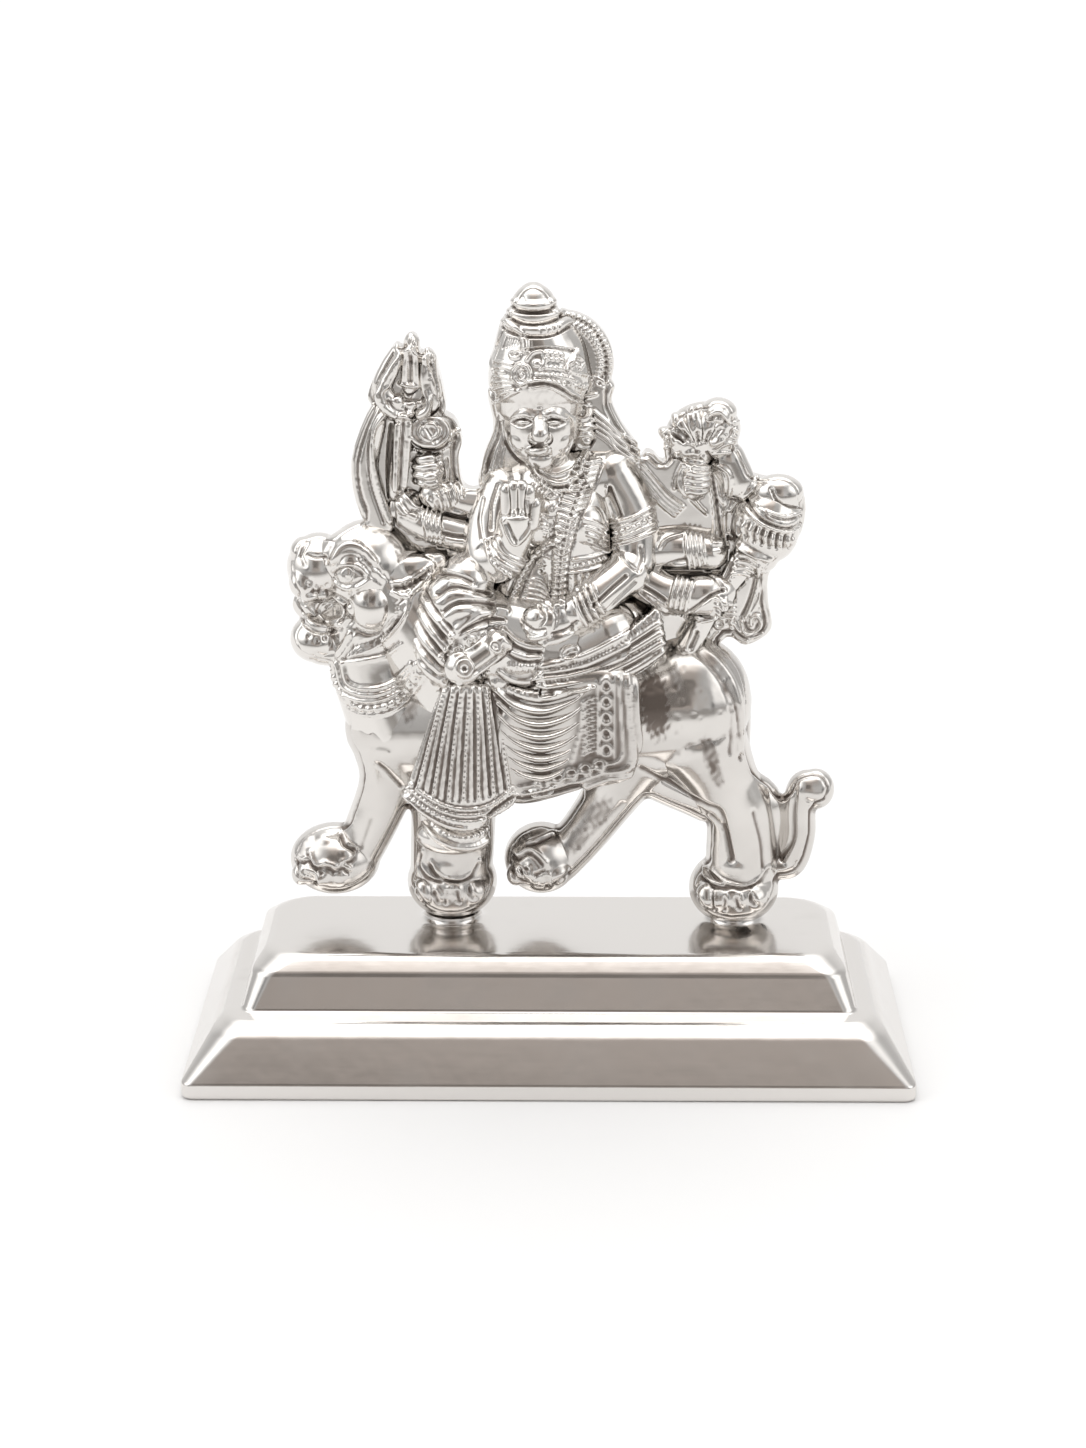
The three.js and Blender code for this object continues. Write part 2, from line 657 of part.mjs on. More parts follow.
const collarCentres = [FORE_PAW, HIND_PAW].map(([column, row, depth]) => {
  const centre = at(column, row, depth);
  return new THREE.Vector2(centre.x, centre.y + FIGURE_SETBACK);
});

const figure = pieceOf('durga_on_tiger', withoutSlivers(durgaOnTiger().getMesh(), SHORTEST_EDGE));
figure.position.set(0, FIGURE_SETBACK, SEAT_LEVEL);

const group = new THREE.Group();
group.add(pieceOf('stepped_plinth', steppedPlinth(collarCentres).getMesh()));
group.add(figure);

export default group;
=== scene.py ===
# %% [markdown]
# # Durga on her tiger, in polished silver
# The real object is a small household figure, pressed and cast in silver and polished until it
# mirrors the room. It is one skin from the crown to the paws, so it is modelled the way it is
# made: plain forms are put together, drawn into one skin, smoothed, and then chased with small
# tools, which raise the beads and folds and leave dark lines beside them.
# The first cell loads the solids that say how big everything is and where it stands.

# %% Load the solids
import math
import bpy
import numpy as np
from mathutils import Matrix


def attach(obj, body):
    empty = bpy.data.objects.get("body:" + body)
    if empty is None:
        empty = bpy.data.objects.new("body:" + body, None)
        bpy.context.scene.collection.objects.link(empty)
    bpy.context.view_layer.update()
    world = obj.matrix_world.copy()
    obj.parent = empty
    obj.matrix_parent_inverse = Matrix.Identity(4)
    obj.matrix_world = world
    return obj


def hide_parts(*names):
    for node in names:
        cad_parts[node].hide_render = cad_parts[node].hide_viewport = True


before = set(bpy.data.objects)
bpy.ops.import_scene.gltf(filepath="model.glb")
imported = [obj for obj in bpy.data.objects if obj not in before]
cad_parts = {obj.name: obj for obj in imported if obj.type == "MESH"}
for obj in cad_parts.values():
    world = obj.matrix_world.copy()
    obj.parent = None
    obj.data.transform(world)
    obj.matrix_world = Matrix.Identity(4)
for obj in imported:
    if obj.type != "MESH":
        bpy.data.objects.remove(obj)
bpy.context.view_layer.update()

bpy.ops.object.select_all(action="DESELECT")
print("solids:", sorted(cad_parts))

# %% [markdown]
# ## The drawing
# The figure is set out on a drawing of it, seen from the front and a little above. A spot is a
# column, a row and a depth in squares. Minus is nearer the front. One rule turns a spot of the
# drawing into a place on the object, and its reverse tells where a place is on the drawing.

# %% From the drawing to the object and back
FIGURE_HEIGHT = 0.0718
SQUARES_HIGH = 650.5
SQUARE = FIGURE_HEIGHT / SQUARES_HIGH
SIGHT_LENGTH = 3000
SHEET = (1086, 1448)
SIGHT_TILT = math.radians(18.3)
CENTRE_COLUMN = 549.4
CENTRE_ROW = 724
CENTRE_HEIGHT = 209.2
CENTRE_DEPTH = -18.1
SETBACK = 0.002
FIGURE_LEVEL = 0.0141
SEAT_LEVEL = 0.0144
COS = math.cos(SIGHT_TILT)
SIN = math.sin(SIGHT_TILT)


def at(column, row, depth=0.0):
    parts = [np.asarray(part, float) for part in (column, row, depth)]
    column, row, depth = np.broadcast_arrays(*parts)
    right = (column - CENTRE_COLUMN) / SIGHT_LENGTH
    up = (CENTRE_ROW - row) / SIGHT_LENGTH
    back = depth - CENTRE_DEPTH
    rise = (up * (SIGHT_LENGTH + back * COS) - back * SIN) / (COS + up * SIN)
    reach = SIGHT_LENGTH + back * COS - rise * SIN
    spot = np.stack([right * reach, back + CENTRE_DEPTH, rise + CENTRE_HEIGHT], axis=-1) * SQUARE
    return spot + (0, SETBACK, FIGURE_LEVEL)


def drawn(spots):
    across, deep, high = ((spots - (0, SETBACK, FIGURE_LEVEL)) / SQUARE).T
    back = deep - CENTRE_DEPTH
    rise = high - CENTRE_HEIGHT
    reach = SIGHT_LENGTH + back * COS - rise * SIN
    columns = CENTRE_COLUMN + SIGHT_LENGTH * across / reach
    rows = CENTRE_ROW - SIGHT_LENGTH * (rise * COS + back * SIN) / reach
    return columns, rows, reach


print("one square is", round(SQUARE * 1000, 4), "mm")

# %% [markdown]
# ## Four plain forms
# Nearly all of the figure comes from four forms: an egg, a limb that runs along stations, a
# plate cut to an outline, and a panel that hangs over what is behind it. Each starts as one of
# Blender's primitives. They are collected and joined later, so here they only have to be closed.
# A table holds one row for each form, and `work` hands the rows to the form's function in turn.

# %% Eggs and limbs
EGG_SEGMENTS, EGG_RINGS = 40, 24
LIMB_SEGMENTS = 28
CAP_STEPS = 5
forms = []


def keep():
    forms.append(bpy.context.object)


def work(tool, rows):
    for row in rows:
        tool(*row)


def tally(place, *tables):
    print(place, "gets", sum(len(rows) for rows in tables), "rows of work")


def shape_of(mesh):
    spots = np.empty(len(mesh.vertices) * 3)
    mesh.vertices.foreach_get("co", spots)
    return spots.reshape(-1, 3)


def reshape(mesh, spots):
    mesh.vertices.foreach_set("co", np.ascontiguousarray(spots, float).ravel())
    mesh.update()


def egg(spot, sizes, tilt=0.0):
    bpy.ops.mesh.primitive_uv_sphere_add(
        segments=EGG_SEGMENTS, ring_count=EGG_RINGS, radius=1, location=at(*spot),
        rotation=(0, math.radians(tilt), 0), scale=[size * SQUARE for size in sizes])
    keep()


def smooth_line(stations, steps=6, closed=False):
    stations = np.asarray(stations, float)
    if closed:
        stations = np.vstack([stations[-1:], stations, stations[:2]])
    else:
        stations = np.vstack([2 * stations[:1] - stations[1:2], stations,
                              2 * stations[-1:] - stations[-2:-1]])
    share = np.linspace(0, 1, steps, endpoint=False)[:, None]
    runs = []
    for before, start, end, after in zip(stations, stations[1:], stations[2:], stations[3:]):
        lean_in, lean_out = (end - before) / 2, (after - start) / 2
        runs.append((2 * share**3 - 3 * share**2 + 1) * start + (share**3 - 2 * share**2 + share) * lean_in
                    + (3 * share**2 - 2 * share**3) * end + (share**3 - share**2) * lean_out)
    if closed:
        return np.vstack(runs)
    return np.vstack(runs + [stations[-2:-1]])


def limb(stations, flatness=1.0, steps=6):
    line = smooth_line(stations, steps)
    centres = at(line[:, 0], line[:, 1], line[:, 2])
    radii = np.maximum(line[:, 3], 0.5) * SQUARE
    along = np.gradient(centres, axis=0)
    along /= np.linalg.norm(along, axis=1)[:, None] + 1e-12
    turns = np.linspace(0, math.pi / 2, CAP_STEPS + 1)[1:, None]
    head = centres[0] - along[0] * radii[0] * np.sin(turns[::-1])
    foot = centres[-1] + along[-1] * radii[-1] * np.sin(turns)
    centres = np.vstack([head, centres, foot])
    radii = np.concatenate([radii[0] * np.cos(turns[::-1, 0]), radii,
                            radii[-1] * np.cos(turns[:, 0])])
    along = np.vstack([np.repeat(along[:1], CAP_STEPS, 0), along, np.repeat(along[-1:], CAP_STEPS, 0)])
    side = np.cross((0, 1, 0), along)
    side[np.linalg.norm(side, axis=1) < 0.2] = (1, 0, 0)
    side /= np.linalg.norm(side, axis=1)[:, None]
    front = np.cross(side, along)
    bpy.ops.mesh.primitive_uv_sphere_add(segments=LIMB_SEGMENTS, ring_count=len(centres) - 1, radius=1)
    mesh = bpy.context.object.data
    spots = shape_of(mesh)
    polar = np.arccos(np.clip(spots[:, 2], -1, 1)) / math.pi
    ring = np.rint(polar * (len(centres) - 1)).astype(int)
    turn = np.arctan2(spots[:, 1], spots[:, 0])[:, None]
    reach = radii[ring][:, None]
    spots = centres[ring] + reach * (side[ring] * np.cos(turn) + front[ring] * np.sin(turn) * flatness)
    reshape(mesh, spots)
    keep()


# %% Plates and panels
def plate(outline, front, back, edge=7.0):
    line = smooth_line(outline, 4, closed=True)
    bpy.ops.mesh.primitive_circle_add(vertices=len(line), radius=1, fill_type="NGON")
    piece = bpy.context.object
    middle = at(line[:, 0], line[:, 1], (front + back) / 2)
    middle[:, 1] = SETBACK + front * SQUARE
    reshape(piece.data, middle)
    bpy.ops.object.mode_set(mode="EDIT")
    bpy.ops.mesh.select_all(action="SELECT")
    bpy.ops.mesh.extrude_region_move(TRANSFORM_OT_translate={"value": (0, (back - front) * SQUARE, 0)})
    bpy.ops.mesh.select_all(action="SELECT")
    bpy.ops.mesh.normals_make_consistent(inside=False)
    bpy.ops.object.mode_set(mode="OBJECT")
    rim = piece.modifiers.new("softened rim", "BEVEL")
    rim.width = edge * SQUARE
    rim.segments = 4
    rim.limit_method = "ANGLE"
    rim.angle_limit = math.radians(60)
    bpy.ops.object.modifier_apply(modifier=rim.name)
    keep()


def panel(surface, back, columns=40, rows=40):
    bpy.ops.mesh.primitive_grid_add(x_subdivisions=columns, y_subdivisions=rows, size=1)
    piece = bpy.context.object
    flat = shape_of(piece.data)
    across, down = flat[:, 0] + 0.5, 0.5 - flat[:, 1]
    front = at(*surface(across, down))
    reshape(piece.data, front)
    bpy.ops.object.mode_set(mode="EDIT")
    bpy.ops.mesh.select_all(action="SELECT")
    bpy.ops.mesh.extrude_region_move()
    bpy.ops.object.mode_set(mode="OBJECT")
    spots = shape_of(piece.data)
    rear = np.array([vertex.select for vertex in piece.data.vertices])
    spots[rear, 1] = SETBACK + back * SQUARE
    reshape(piece.data, spots)
    bpy.ops.object.mode_set(mode="EDIT")
    bpy.ops.mesh.select_all(action="SELECT")
    bpy.ops.mesh.normals_make_consistent(inside=False)
    bpy.ops.object.mode_set(mode="OBJECT")
    keep()


def between(start, end, share):
    return start + (end - start) * share


def arch(share):
    return np.sin(np.clip(share, 0, 1) * math.pi)


print("an egg has", EGG_SEGMENTS, "sides and a limb", LIMB_SEGMENTS)


# %% [markdown]
# ## One skin
# The forms of a region are joined and a voxel remesh draws them into one closed skin, as molten
# metal fills a mould. Its grain is the size of the remesh's faces. Smoothing takes the steps out,
# because polished silver shows each of them.

# %% Cast a region in one skin
def cast(name, grain, rounds, seated=False):
    bpy.ops.object.select_all(action="DESELECT")
    for form in forms:
        form.select_set(True)
    bpy.context.view_layer.objects.active = forms[0]
    bpy.ops.object.join()
    forms.clear()
    piece = bpy.context.object
    piece.name = name
    bpy.ops.object.transform_apply(location=True, rotation=True, scale=True)
    skin = piece.modifiers.new("one skin", "REMESH")
    skin.mode = "VOXEL"
    skin.voxel_size = grain * 0.001
    bpy.ops.object.modifier_apply(modifier=skin.name)
    polish = piece.modifiers.new("polish", "SMOOTH")
    polish.factor = 0.5
    polish.iterations = rounds
    bpy.ops.object.modifier_apply(modifier=polish.name)
    if seated:
        bpy.ops.object.mode_set(mode="EDIT")
        bpy.ops.mesh.select_all(action="SELECT")
        bpy.ops.mesh.bisect(plane_co=(0, 0, SEAT_LEVEL), plane_no=(0, 0, 1),
                            use_fill=True, clear_inner=True)
        bpy.ops.object.mode_set(mode="OBJECT")
    bpy.ops.object.shade_smooth()
    piece.select_set(False)
    print(name, "has", len(piece.data.polygons), "faces")
    return piece


# %% [markdown]
# ## Chasing
# A chaser holds a punch against the silver and taps it along a line. Here each tool works on
# the drawing: it finds the skin that shows at that place, and raises or sinks it along the
# skin's own direction. How far a spot lies below the skin round it is kept, and it darkens the
# colour there. This is partly the tarnish that dirt and old polish leave in the low places, and
# partly painted shade in the creases. Skin turned away from the view gets painted shade too,
# and a patch tool paints darker or lighter patches, some of them painted reflections. The
# strokes of a region stand in tables too, one row for each stroke: its line or its spot first,
# then its sizes and its height.

# %% The chasing tools
BACK_SAVING = 0.8
SIGHT_CELL = 3
SIGHT_CELLS = 400
SKIN_DEPTH = 16
LEVEL_ROUNDS = 12
# Recess depth at which the darkening is full: tarnish plus painted shade in the creases
FULL_TARNISH_AND_SHADE_DEPTH = 1.6


def spread(mesh):
    edges = np.empty(len(mesh.edges) * 2, np.int64)
    mesh.edges.foreach_get("vertices", edges)
    one, two = edges.reshape(-1, 2).T
    count = len(mesh.vertices)
    valence = np.maximum(np.bincount(one, minlength=count) + np.bincount(two, minlength=count), 1)

    def average(values):
        return (np.bincount(one, values[two], count) + np.bincount(two, values[one], count)) / valence

    return average


class Chaser:
    def __init__(self, piece):
        self.piece = piece
        self.spots = shape_of(piece.data)
        self.normals = np.empty(self.spots.size)
        piece.data.vertices.foreach_get("normal", self.normals)
        self.normals = self.normals.reshape(-1, 3)
        self.columns, self.rows, reach = drawn(self.spots)
        facing = -self.normals @ (0, COS, -SIN)
        bins = (np.floor(self.columns / SIGHT_CELL).astype(int), np.floor(self.rows / SIGHT_CELL).astype(int))
        nearest = np.full((SIGHT_CELLS, SIGHT_CELLS), np.inf)
        np.minimum.at(nearest, bins, reach)
        shown = reach < nearest[bins] + SKIN_DEPTH
        self.front = np.where(shown, np.clip((facing - 0.1) / 0.35, 0, 1), 0)
        self.hidden = (facing < -0.2) | ~shown
        self.rise = np.zeros(len(self.spots))
        self.patches = np.zeros(len(self.spots))
        self.order = np.argsort(self.columns)
        self.sorted = self.columns[self.order]

    def near(self, line, margin):
        low = np.searchsorted(self.sorted, line[:, 0].min() - margin)
        high = np.searchsorted(self.sorted, line[:, 0].max() + margin)
        found = self.order[low:high]
        rows = self.rows[found]
        inside = (rows > line[:, 1].min() - margin) & (rows < line[:, 1].max() + margin)
        return found[inside & (self.front[found] > 0)]

    def follow(self, points, width, closed=False):
        line = np.asarray(points, float)
        if len(points) > 2 or closed:
            line = smooth_line(points, 5, closed)
        if closed:
            line = np.vstack([line, line[:1]])
        found = self.near(line, width)
        spots = np.stack([self.columns[found], self.rows[found]], axis=1)
        best = np.full(len(found), np.inf)
        place = np.zeros(len(found))
        run = 0.0
        for start, end in zip(line, line[1:]):
            step = end - start
            length = math.hypot(*step)
            share = np.clip((spots - start) @ step / max(length, 1e-6) ** 2, 0, 1)
            away = np.hypot(*(spots - start - share[:, None] * step).T)
            closer = away < best
            best[closer] = away[closer]
            place[closer] = run + share[closer] * length
            run += length
        return found, best / width, place, run

    def raise_by(self, found, height):
        self.rise[found] += height * self.front[found]

    def cord(self, points, width, height, closed=False):
        found, away, place, run = self.follow(points, width, closed)
        self.raise_by(found, height * np.sqrt(np.clip(1 - away**2, 0, 1)))

    def groove(self, points, width, depth, closed=False):
        found, away, place, run = self.follow(points, width, closed)
        self.raise_by(found, -depth * np.cos(np.clip(away, 0, 1) * math.pi / 2) ** 1.4)

    def swell(self, points, width, height, closed=False):
        found, away, place, run = self.follow(points, width, closed)
        self.raise_by(found, height * np.cos(np.clip(away, 0, 1) * math.pi / 2) ** 2)

    def beads(self, points, width, height, pitch, closed=False):
        found, away, place, run = self.follow(points, width, closed)
        pitch = run / max(round(run / pitch), 1)
        off = (place / pitch % 1 - 0.5) * pitch / width
        self.raise_by(found, height * np.sqrt(np.clip(1 - away**2 - off**2, 0, 1)))

    def rope(self, points, width, height, pitch, closed=False):
        found, away, place, run = self.follow(points, width, closed)
        strand = 0.65 + 0.35 * np.sin(2 * math.pi * (place / pitch + away * 0.3))
        self.raise_by(found, height * strand * np.sqrt(np.clip(1 - away**2, 0, 1)))

    def boss(self, spot, sizes, height, tilt=0.0, power=0.5):
        column, row = spot
        found = self.near(np.array([[column, row]], float), max(sizes))
        turn = math.radians(tilt)
        right, down = self.columns[found] - column, self.rows[found] - row
        along = (right * math.cos(turn) + down * math.sin(turn)) / sizes[0]
        across = (down * math.cos(turn) - right * math.sin(turn)) / sizes[1]
        self.raise_by(found, height * np.clip(1 - along**2 - across**2, 0, 1) ** power)

    def ring(self, spot, sizes, width, height, tilt=0.0):
        turns = np.linspace(0, 2 * math.pi, 12, endpoint=False)
        turn = math.radians(tilt)
        right, down = sizes[0] * np.cos(turns), sizes[1] * np.sin(turns)
        line = np.stack([spot[0] + right * math.cos(turn) - down * math.sin(turn),
                         spot[1] + right * math.sin(turn) + down * math.cos(turn)], axis=1)
        self.cord(line, width, height, closed=True)

    # Paints a darker patch into the colour, or a lighter one with a negative strength; on the tiger's cheek
    # and body these are painted dark reflections
    def tone_patch(self, spot, sizes, strength, tilt=0.0):
        column, row = spot
        found = self.near(np.array([[column, row]], float), max(sizes) * 1.3)
        turn = math.radians(tilt)
        right, down = self.columns[found] - column, self.rows[found] - row
        along = (right * math.cos(turn) + down * math.sin(turn)) / sizes[0]
        across = (down * math.cos(turn) - right * math.sin(turn)) / sizes[1]
        ragged = 0.3 * np.sin(right * 0.9 + 2 * np.sin(down * 0.35))
        ragged = ragged + 0.25 * np.sin(down * 0.7 + right * 0.4)
        cover = np.clip((1.15 - np.hypot(along, across) + 0.3 * ragged) / 0.5, 0, 1)
        self.patches[found] += strength * cover * (0.75 + ragged * 0.45)

    def thin_the_back(self):
        piece = self.piece
        group = piece.vertex_groups.new(name="out of sight")
        group.add(np.flatnonzero(self.hidden).tolist(), 1.0, "REPLACE")
        bpy.context.view_layer.objects.active = piece
        thin = piece.modifiers.new("fewer faces behind", "DECIMATE")
        thin.vertex_group = group.name
        thin.ratio = 1 - BACK_SAVING * float(self.hidden.mean())
        bpy.ops.object.modifier_apply(modifier=thin.name)
        piece.vertex_groups.clear()

    def finish(self, rounds=1, darkening=0.0):
        mesh = self.piece.data
        average = spread(mesh)
        spots = self.spots + self.normals * (self.rise * SQUARE)[:, None]
        for _ in range(rounds):
            spots = spots * 0.5 + 0.5 * np.stack([average(axis) for axis in spots.T], axis=1)
        reshape(mesh, spots)
        level = spots
        normals = np.empty(spots.size)
        mesh.vertices.foreach_get("normal", normals)
        normals = normals.reshape(-1, 3)
        for _ in range(LEVEL_ROUNDS):
            level = np.stack([average(axis) for axis in level.T], axis=1)
        # Low places are darkened: partly tarnish, partly painted shade in creases and recesses
        low = ((level - spots) * normals).sum(1) / SQUARE
        tarnish_and_painted_shade = np.clip(low / FULL_TARNISH_AND_SHADE_DEPTH, 0, 1)
        # Painted shade: skin turning away from the view is darkened, so rims and edges look grey
        rim = np.clip(0.35 + normals @ (0, COS, -SIN), 0, 0.5) * 0.5
        tarnish_and_painted_shade = np.maximum(tarnish_and_painted_shade * 0.6 + average(tarnish_and_painted_shade) * 0.4, rim)
        # Adds the piece's overall darkening and its patches to the colour
        tarnish_and_painted_shade = np.clip(tarnish_and_painted_shade + darkening + self.patches, 0, 1)
        layer = mesh.attributes.new("tarnish_and_painted_shade", "FLOAT", "POINT")
        layer.data.foreach_set("value", tarnish_and_painted_shade.astype(np.float32))
        self.thin_the_back()
        print(self.piece.name, "is chased and has", len(mesh.polygons), "faces")


# %% [markdown]
# ## The tiger's body
# A barrel, a round haunch, four legs and the tail, all smooth. It stands on two paws, and the
# skin is cut level where they meet the collars of the plinth.

# %% The tiger's body and legs
TOE = (10, 13, 12)
TOE_REACH = 0.72


def paw(spot, sizes, toe_columns, toe_row):
    column, row, depth = spot
    egg(spot, sizes)
    for toe in toe_columns:
        egg((toe, toe_row, depth - sizes[1] * TOE_REACH), TOE)


TIGER_BODY_LIMBS = (
    (((394, 726, 0, 50), (470, 722, 0, 60), (580, 712, 0, 62), (690, 702, 0, 62)), 0.96),
    (((697, 735, 0, 52), (720, 776, 0, 38), (738, 812, 0, 34), (739, 868, 0, 35)), 1.1),
    (((648, 768, 0, 27), (680, 785, 0, 25), (704, 803, 0, 18)), 1.2),
    (((699, 654, 6, 20), (728, 692, 8, 20), (731, 750, 8, 19)), 1),
    (((731, 745, 8, 19), (738, 774, 6, 15), (762, 802, 4, 21), (763, 850, 2, 17)), 1),
    (((392, 738, 0, 44), (388, 780, 0, 30), (372, 822, 0, 26), (358, 850, 0, 25)), 1.1),
    (((452, 760, 0, 44), (453, 820, 0, 43), (451, 868, 0, 42)), 1),
    (((640, 742, 0, 46), (613, 790, 0, 30), (583, 832, 0, 25), (558, 858, 0, 25)), 1.1),
    (((772, 866, 0, 13), (791, 862, 0, 14), (799, 832, 0, 16), (799, 800, 0, 16), (805, 787, 0, 18),
      (813, 789, 0, 18)), 1.1))
TIGER_BODY_EGGS = (
    ((686, 702, 0), (64, 58, 70), 20), ((815, 788, 0), (19, 19, 21)))
TIGER_BODY_PAWS = (
    ((335, 858, 0), (46, 42, 36), (301, 312, 325, 340), 874),
    ((452, 880, 0), (46, 46, 38), (424, 440, 457, 475), 892),
    ((541, 857, 0), (38, 40, 36), (516, 530, 545, 558), 874),
    ((733, 886, 0), (46, 44, 38), (706, 721, 738, 755), 896))
work(limb, TIGER_BODY_LIMBS)
work(egg, TIGER_BODY_EGGS)
work(paw, TIGER_BODY_PAWS)
tiger_body = cast("tiger_body", 0.22, 10, seated=True)

# %% The tiger's head and neck
TIGER_HEAD_LIMBS = (
    (((372, 618, 0, 40), (372, 662, 0, 42), (396, 724, 0, 48)), 1),
    (((392, 580, 0, 44), (430, 632, 0, 56), (470, 690, 0, 58)), 1),
    (((322, 644, 0, 21), (344, 644, 0, 22), (372, 630, 0, 26)), 1.3),
    (((392, 574, -20, 16), (414, 572, -24, 16), (438, 562, -20, 8)), 0.8))
TIGER_HEAD_EGGS = (
    ((370, 565, 0), (47, 46, 46)), ((318, 566, 0), (31, 38, 33), 10),
    ((352, 554, -10), (34, 33, 26), -15), ((304, 552, -8), (14, 20, 15)), ((305, 582, -20), (16, 20, 18)),
    ((373, 603, -27), (22, 25, 25)), ((384, 606, 0), (42, 42, 44)), ((316, 638, 0), (26, 32, 24)),
    ((352, 620, 4), (36, 24, 22)), ((320, 604, 6), (28, 14, 20)), ((348, 573, -38), (9, 8, 8)))
work(limb, TIGER_HEAD_LIMBS)
work(egg, TIGER_HEAD_EGGS)
tiger_head = cast("tiger_head", 0.17, 8)

# %% The saddle cloth
CLOTH_OUTLINE = ((560, 660), (632, 664), (633, 753), (590, 771), (524, 789), (500, 772), (500, 700))
plate(CLOTH_OUTLINE, -66, 40, 10)
saddle_cloth = cast("saddle_cloth", 0.2, 6)

# %% The skirt
SKIRT_LIMBS = (
    (((618, 640, -8, 46), (560, 646, -16, 50), (500, 636, -22, 50), (462, 622, -24, 48)), 1),
    (((468, 580, -34, 26), (462, 602, -34, 38), (454, 644, -32, 38), (452, 672, -28, 28)), 1.2),
    (((606, 636, -30, 34), (560, 658, -40, 24), (516, 664, -44, 14)), 1),
    (((466, 668, -78, 12), (498, 645, -72, 10)), 1))
SKIRT_EGGS = (
    ((520, 662, -56), (17, 14, 10)), ((463, 669, -82), (15, 10, 13)), ((454, 834, -36), (36, 26, 18)))
work(limb, SKIRT_LIMBS)
work(egg, SKIRT_EGGS)


def fan(across, down):
    column = between(between(444, 490, across), between(406, 518, across), down)
    row = between(688, 800 + 28 * arch(across), down)
    swell = 18 * np.sqrt(arch(between(0.03, 0.97, across)))
    return column, row, between(-55, -60, down) - swell


def apron(across, down):
    sag = arch(across) * between(16, 24, down)
    column = between(between(488, 516, down), between(594, 566, down), across)
    row = between(between(680, 790, down), between(682, 782, down), across)
    return column, row + sag * (1 - down * 0.5), -60 - 8 * arch(across)


def sash(across, down):
    column = between(between(536, 658, across), between(546, 662, across), down)
    row = between(between(672, 612, across), between(704, 650, across), down)
    return column, row + 12 * arch(across), between(-68, -52, across)


panel(fan, -10)
panel(apron, -10)
panel(sash, -10)
skirt = cast("skirt", 0.15, 5)

# %% The torso and the front arms
TORSO_LIMBS = (
    (((584, 618, -4, 46), (572, 570, -6, 42), (560, 512, -6, 48), (556, 492, -4, 44)), 0.9),
    (((512, 492, 0, 24), (556, 482, -4, 30), (606, 476, 0, 26)), 1),
    (((528, 530, -2, 36), (530, 600, -6, 40)), 0.9), (((551, 476, -4, 19), (546, 452, -6, 19)), 1),
    (((506, 492, -4, 25), (492, 528, -14, 25), (493, 558, -30, 24), (508, 556, -46, 18)), 1),
    (((508, 556, -46, 16), (517, 536, -56, 13), (518, 518, -60, 12)), 0.9),
    (((532, 524, -62, 4.4), (535, 504, -62, 4)), 1),
    (((612, 474, -2, 24), (632, 512, -8, 22), (634, 556, -18, 21), (626, 572, -30, 20)), 1),
    (((628, 572, -30, 20), (600, 594, -48, 17), (576, 612, -58, 15)), 1))
TORSO_EGGS = (
    ((540, 524, -36), (18, 14, 19)), ((582, 524, -34), (20, 15, 20)), ((517, 522, -60), (14, 8, 19)),
    ((550, 622, -62), (24, 15, 18), -8))
work(limb, TORSO_LIMBS)
work(egg, TORSO_EGGS)
FINGERTIPS = ((508, 490), (515, 487), (522, 487), (529, 491))
for column, row in FINGERTIPS:
    limb([[between(518, column, 0.9), 516, -62, 4.6], [column, row, -63, 4]])
torso_and_arms = cast("torso_and_arms", 0.12, 6)

# %% The head, crown and halo
CROWN_EGGS = (
    ((541, 424, -8), (36, 40, 42), -4), ((541, 438, -12), (29, 34, 25), -4),
    ((585, 426, -4), (8, 12, 20)), ((534, 310.6, -2), (23, 22.5, 26.5)), ((541, 458, -36), (10, 9, 9)))
CROWN_LIMBS = (
    (((539, 394, -2, 44), (539, 382, -2, 49), (538, 366, -1, 48), (537, 350, 0, 45), (535, 336, 0, 39),
      (534, 323, 0, 33), (534, 313, 0, 27), (534, 305, 0, 22), (533.5, 298.4, 0, 16)), 0.95),
    (((541, 411, -38, 4), (541, 424, -46, 4), (541, 435, -52, 5.5)), 1),
    (((532, 450, -40, 3), (541, 449, -46, 4.5), (550, 450, -40, 3)), 1),
    (((504, 394, 4, 16), (505, 430, 4, 12), (492, 480, 4, 14)), 1.2))
CROWN_PLATES = (
    (((500, 400), (530, 430), (540, 476), (486, 486), (483, 458), (494, 428)), -10, 18),
    (((590, 380), (614, 382), (612, 400), (622, 422), (640, 452), (630, 486), (560, 480)), -8, 18))
work(egg, CROWN_EGGS)
work(limb, CROWN_LIMBS)
work(plate, CROWN_PLATES)
for side in (-1, 1):
    limb([[541 + side * 25, 419, -30, 4], [541 + side * 15, 412, -38, 5], [541 + side * 5, 414, -41, 4]])
    egg((541 + side * 14, 423, -34), (9, 8, 6))
    egg((541 + side * 15, 438, -30), (13, 13, 12))
    egg((541 + side * 5, 438, -47), (4, 5, 4))
turns = np.linspace(0, 2 * math.pi, 14, endpoint=False)
plate(np.stack([563 + 51 * np.cos(turns), 362 - 52 * np.sin(turns)], axis=1), -4, 20)
head_and_crown = cast("head_and_crown", 0.12, 5)

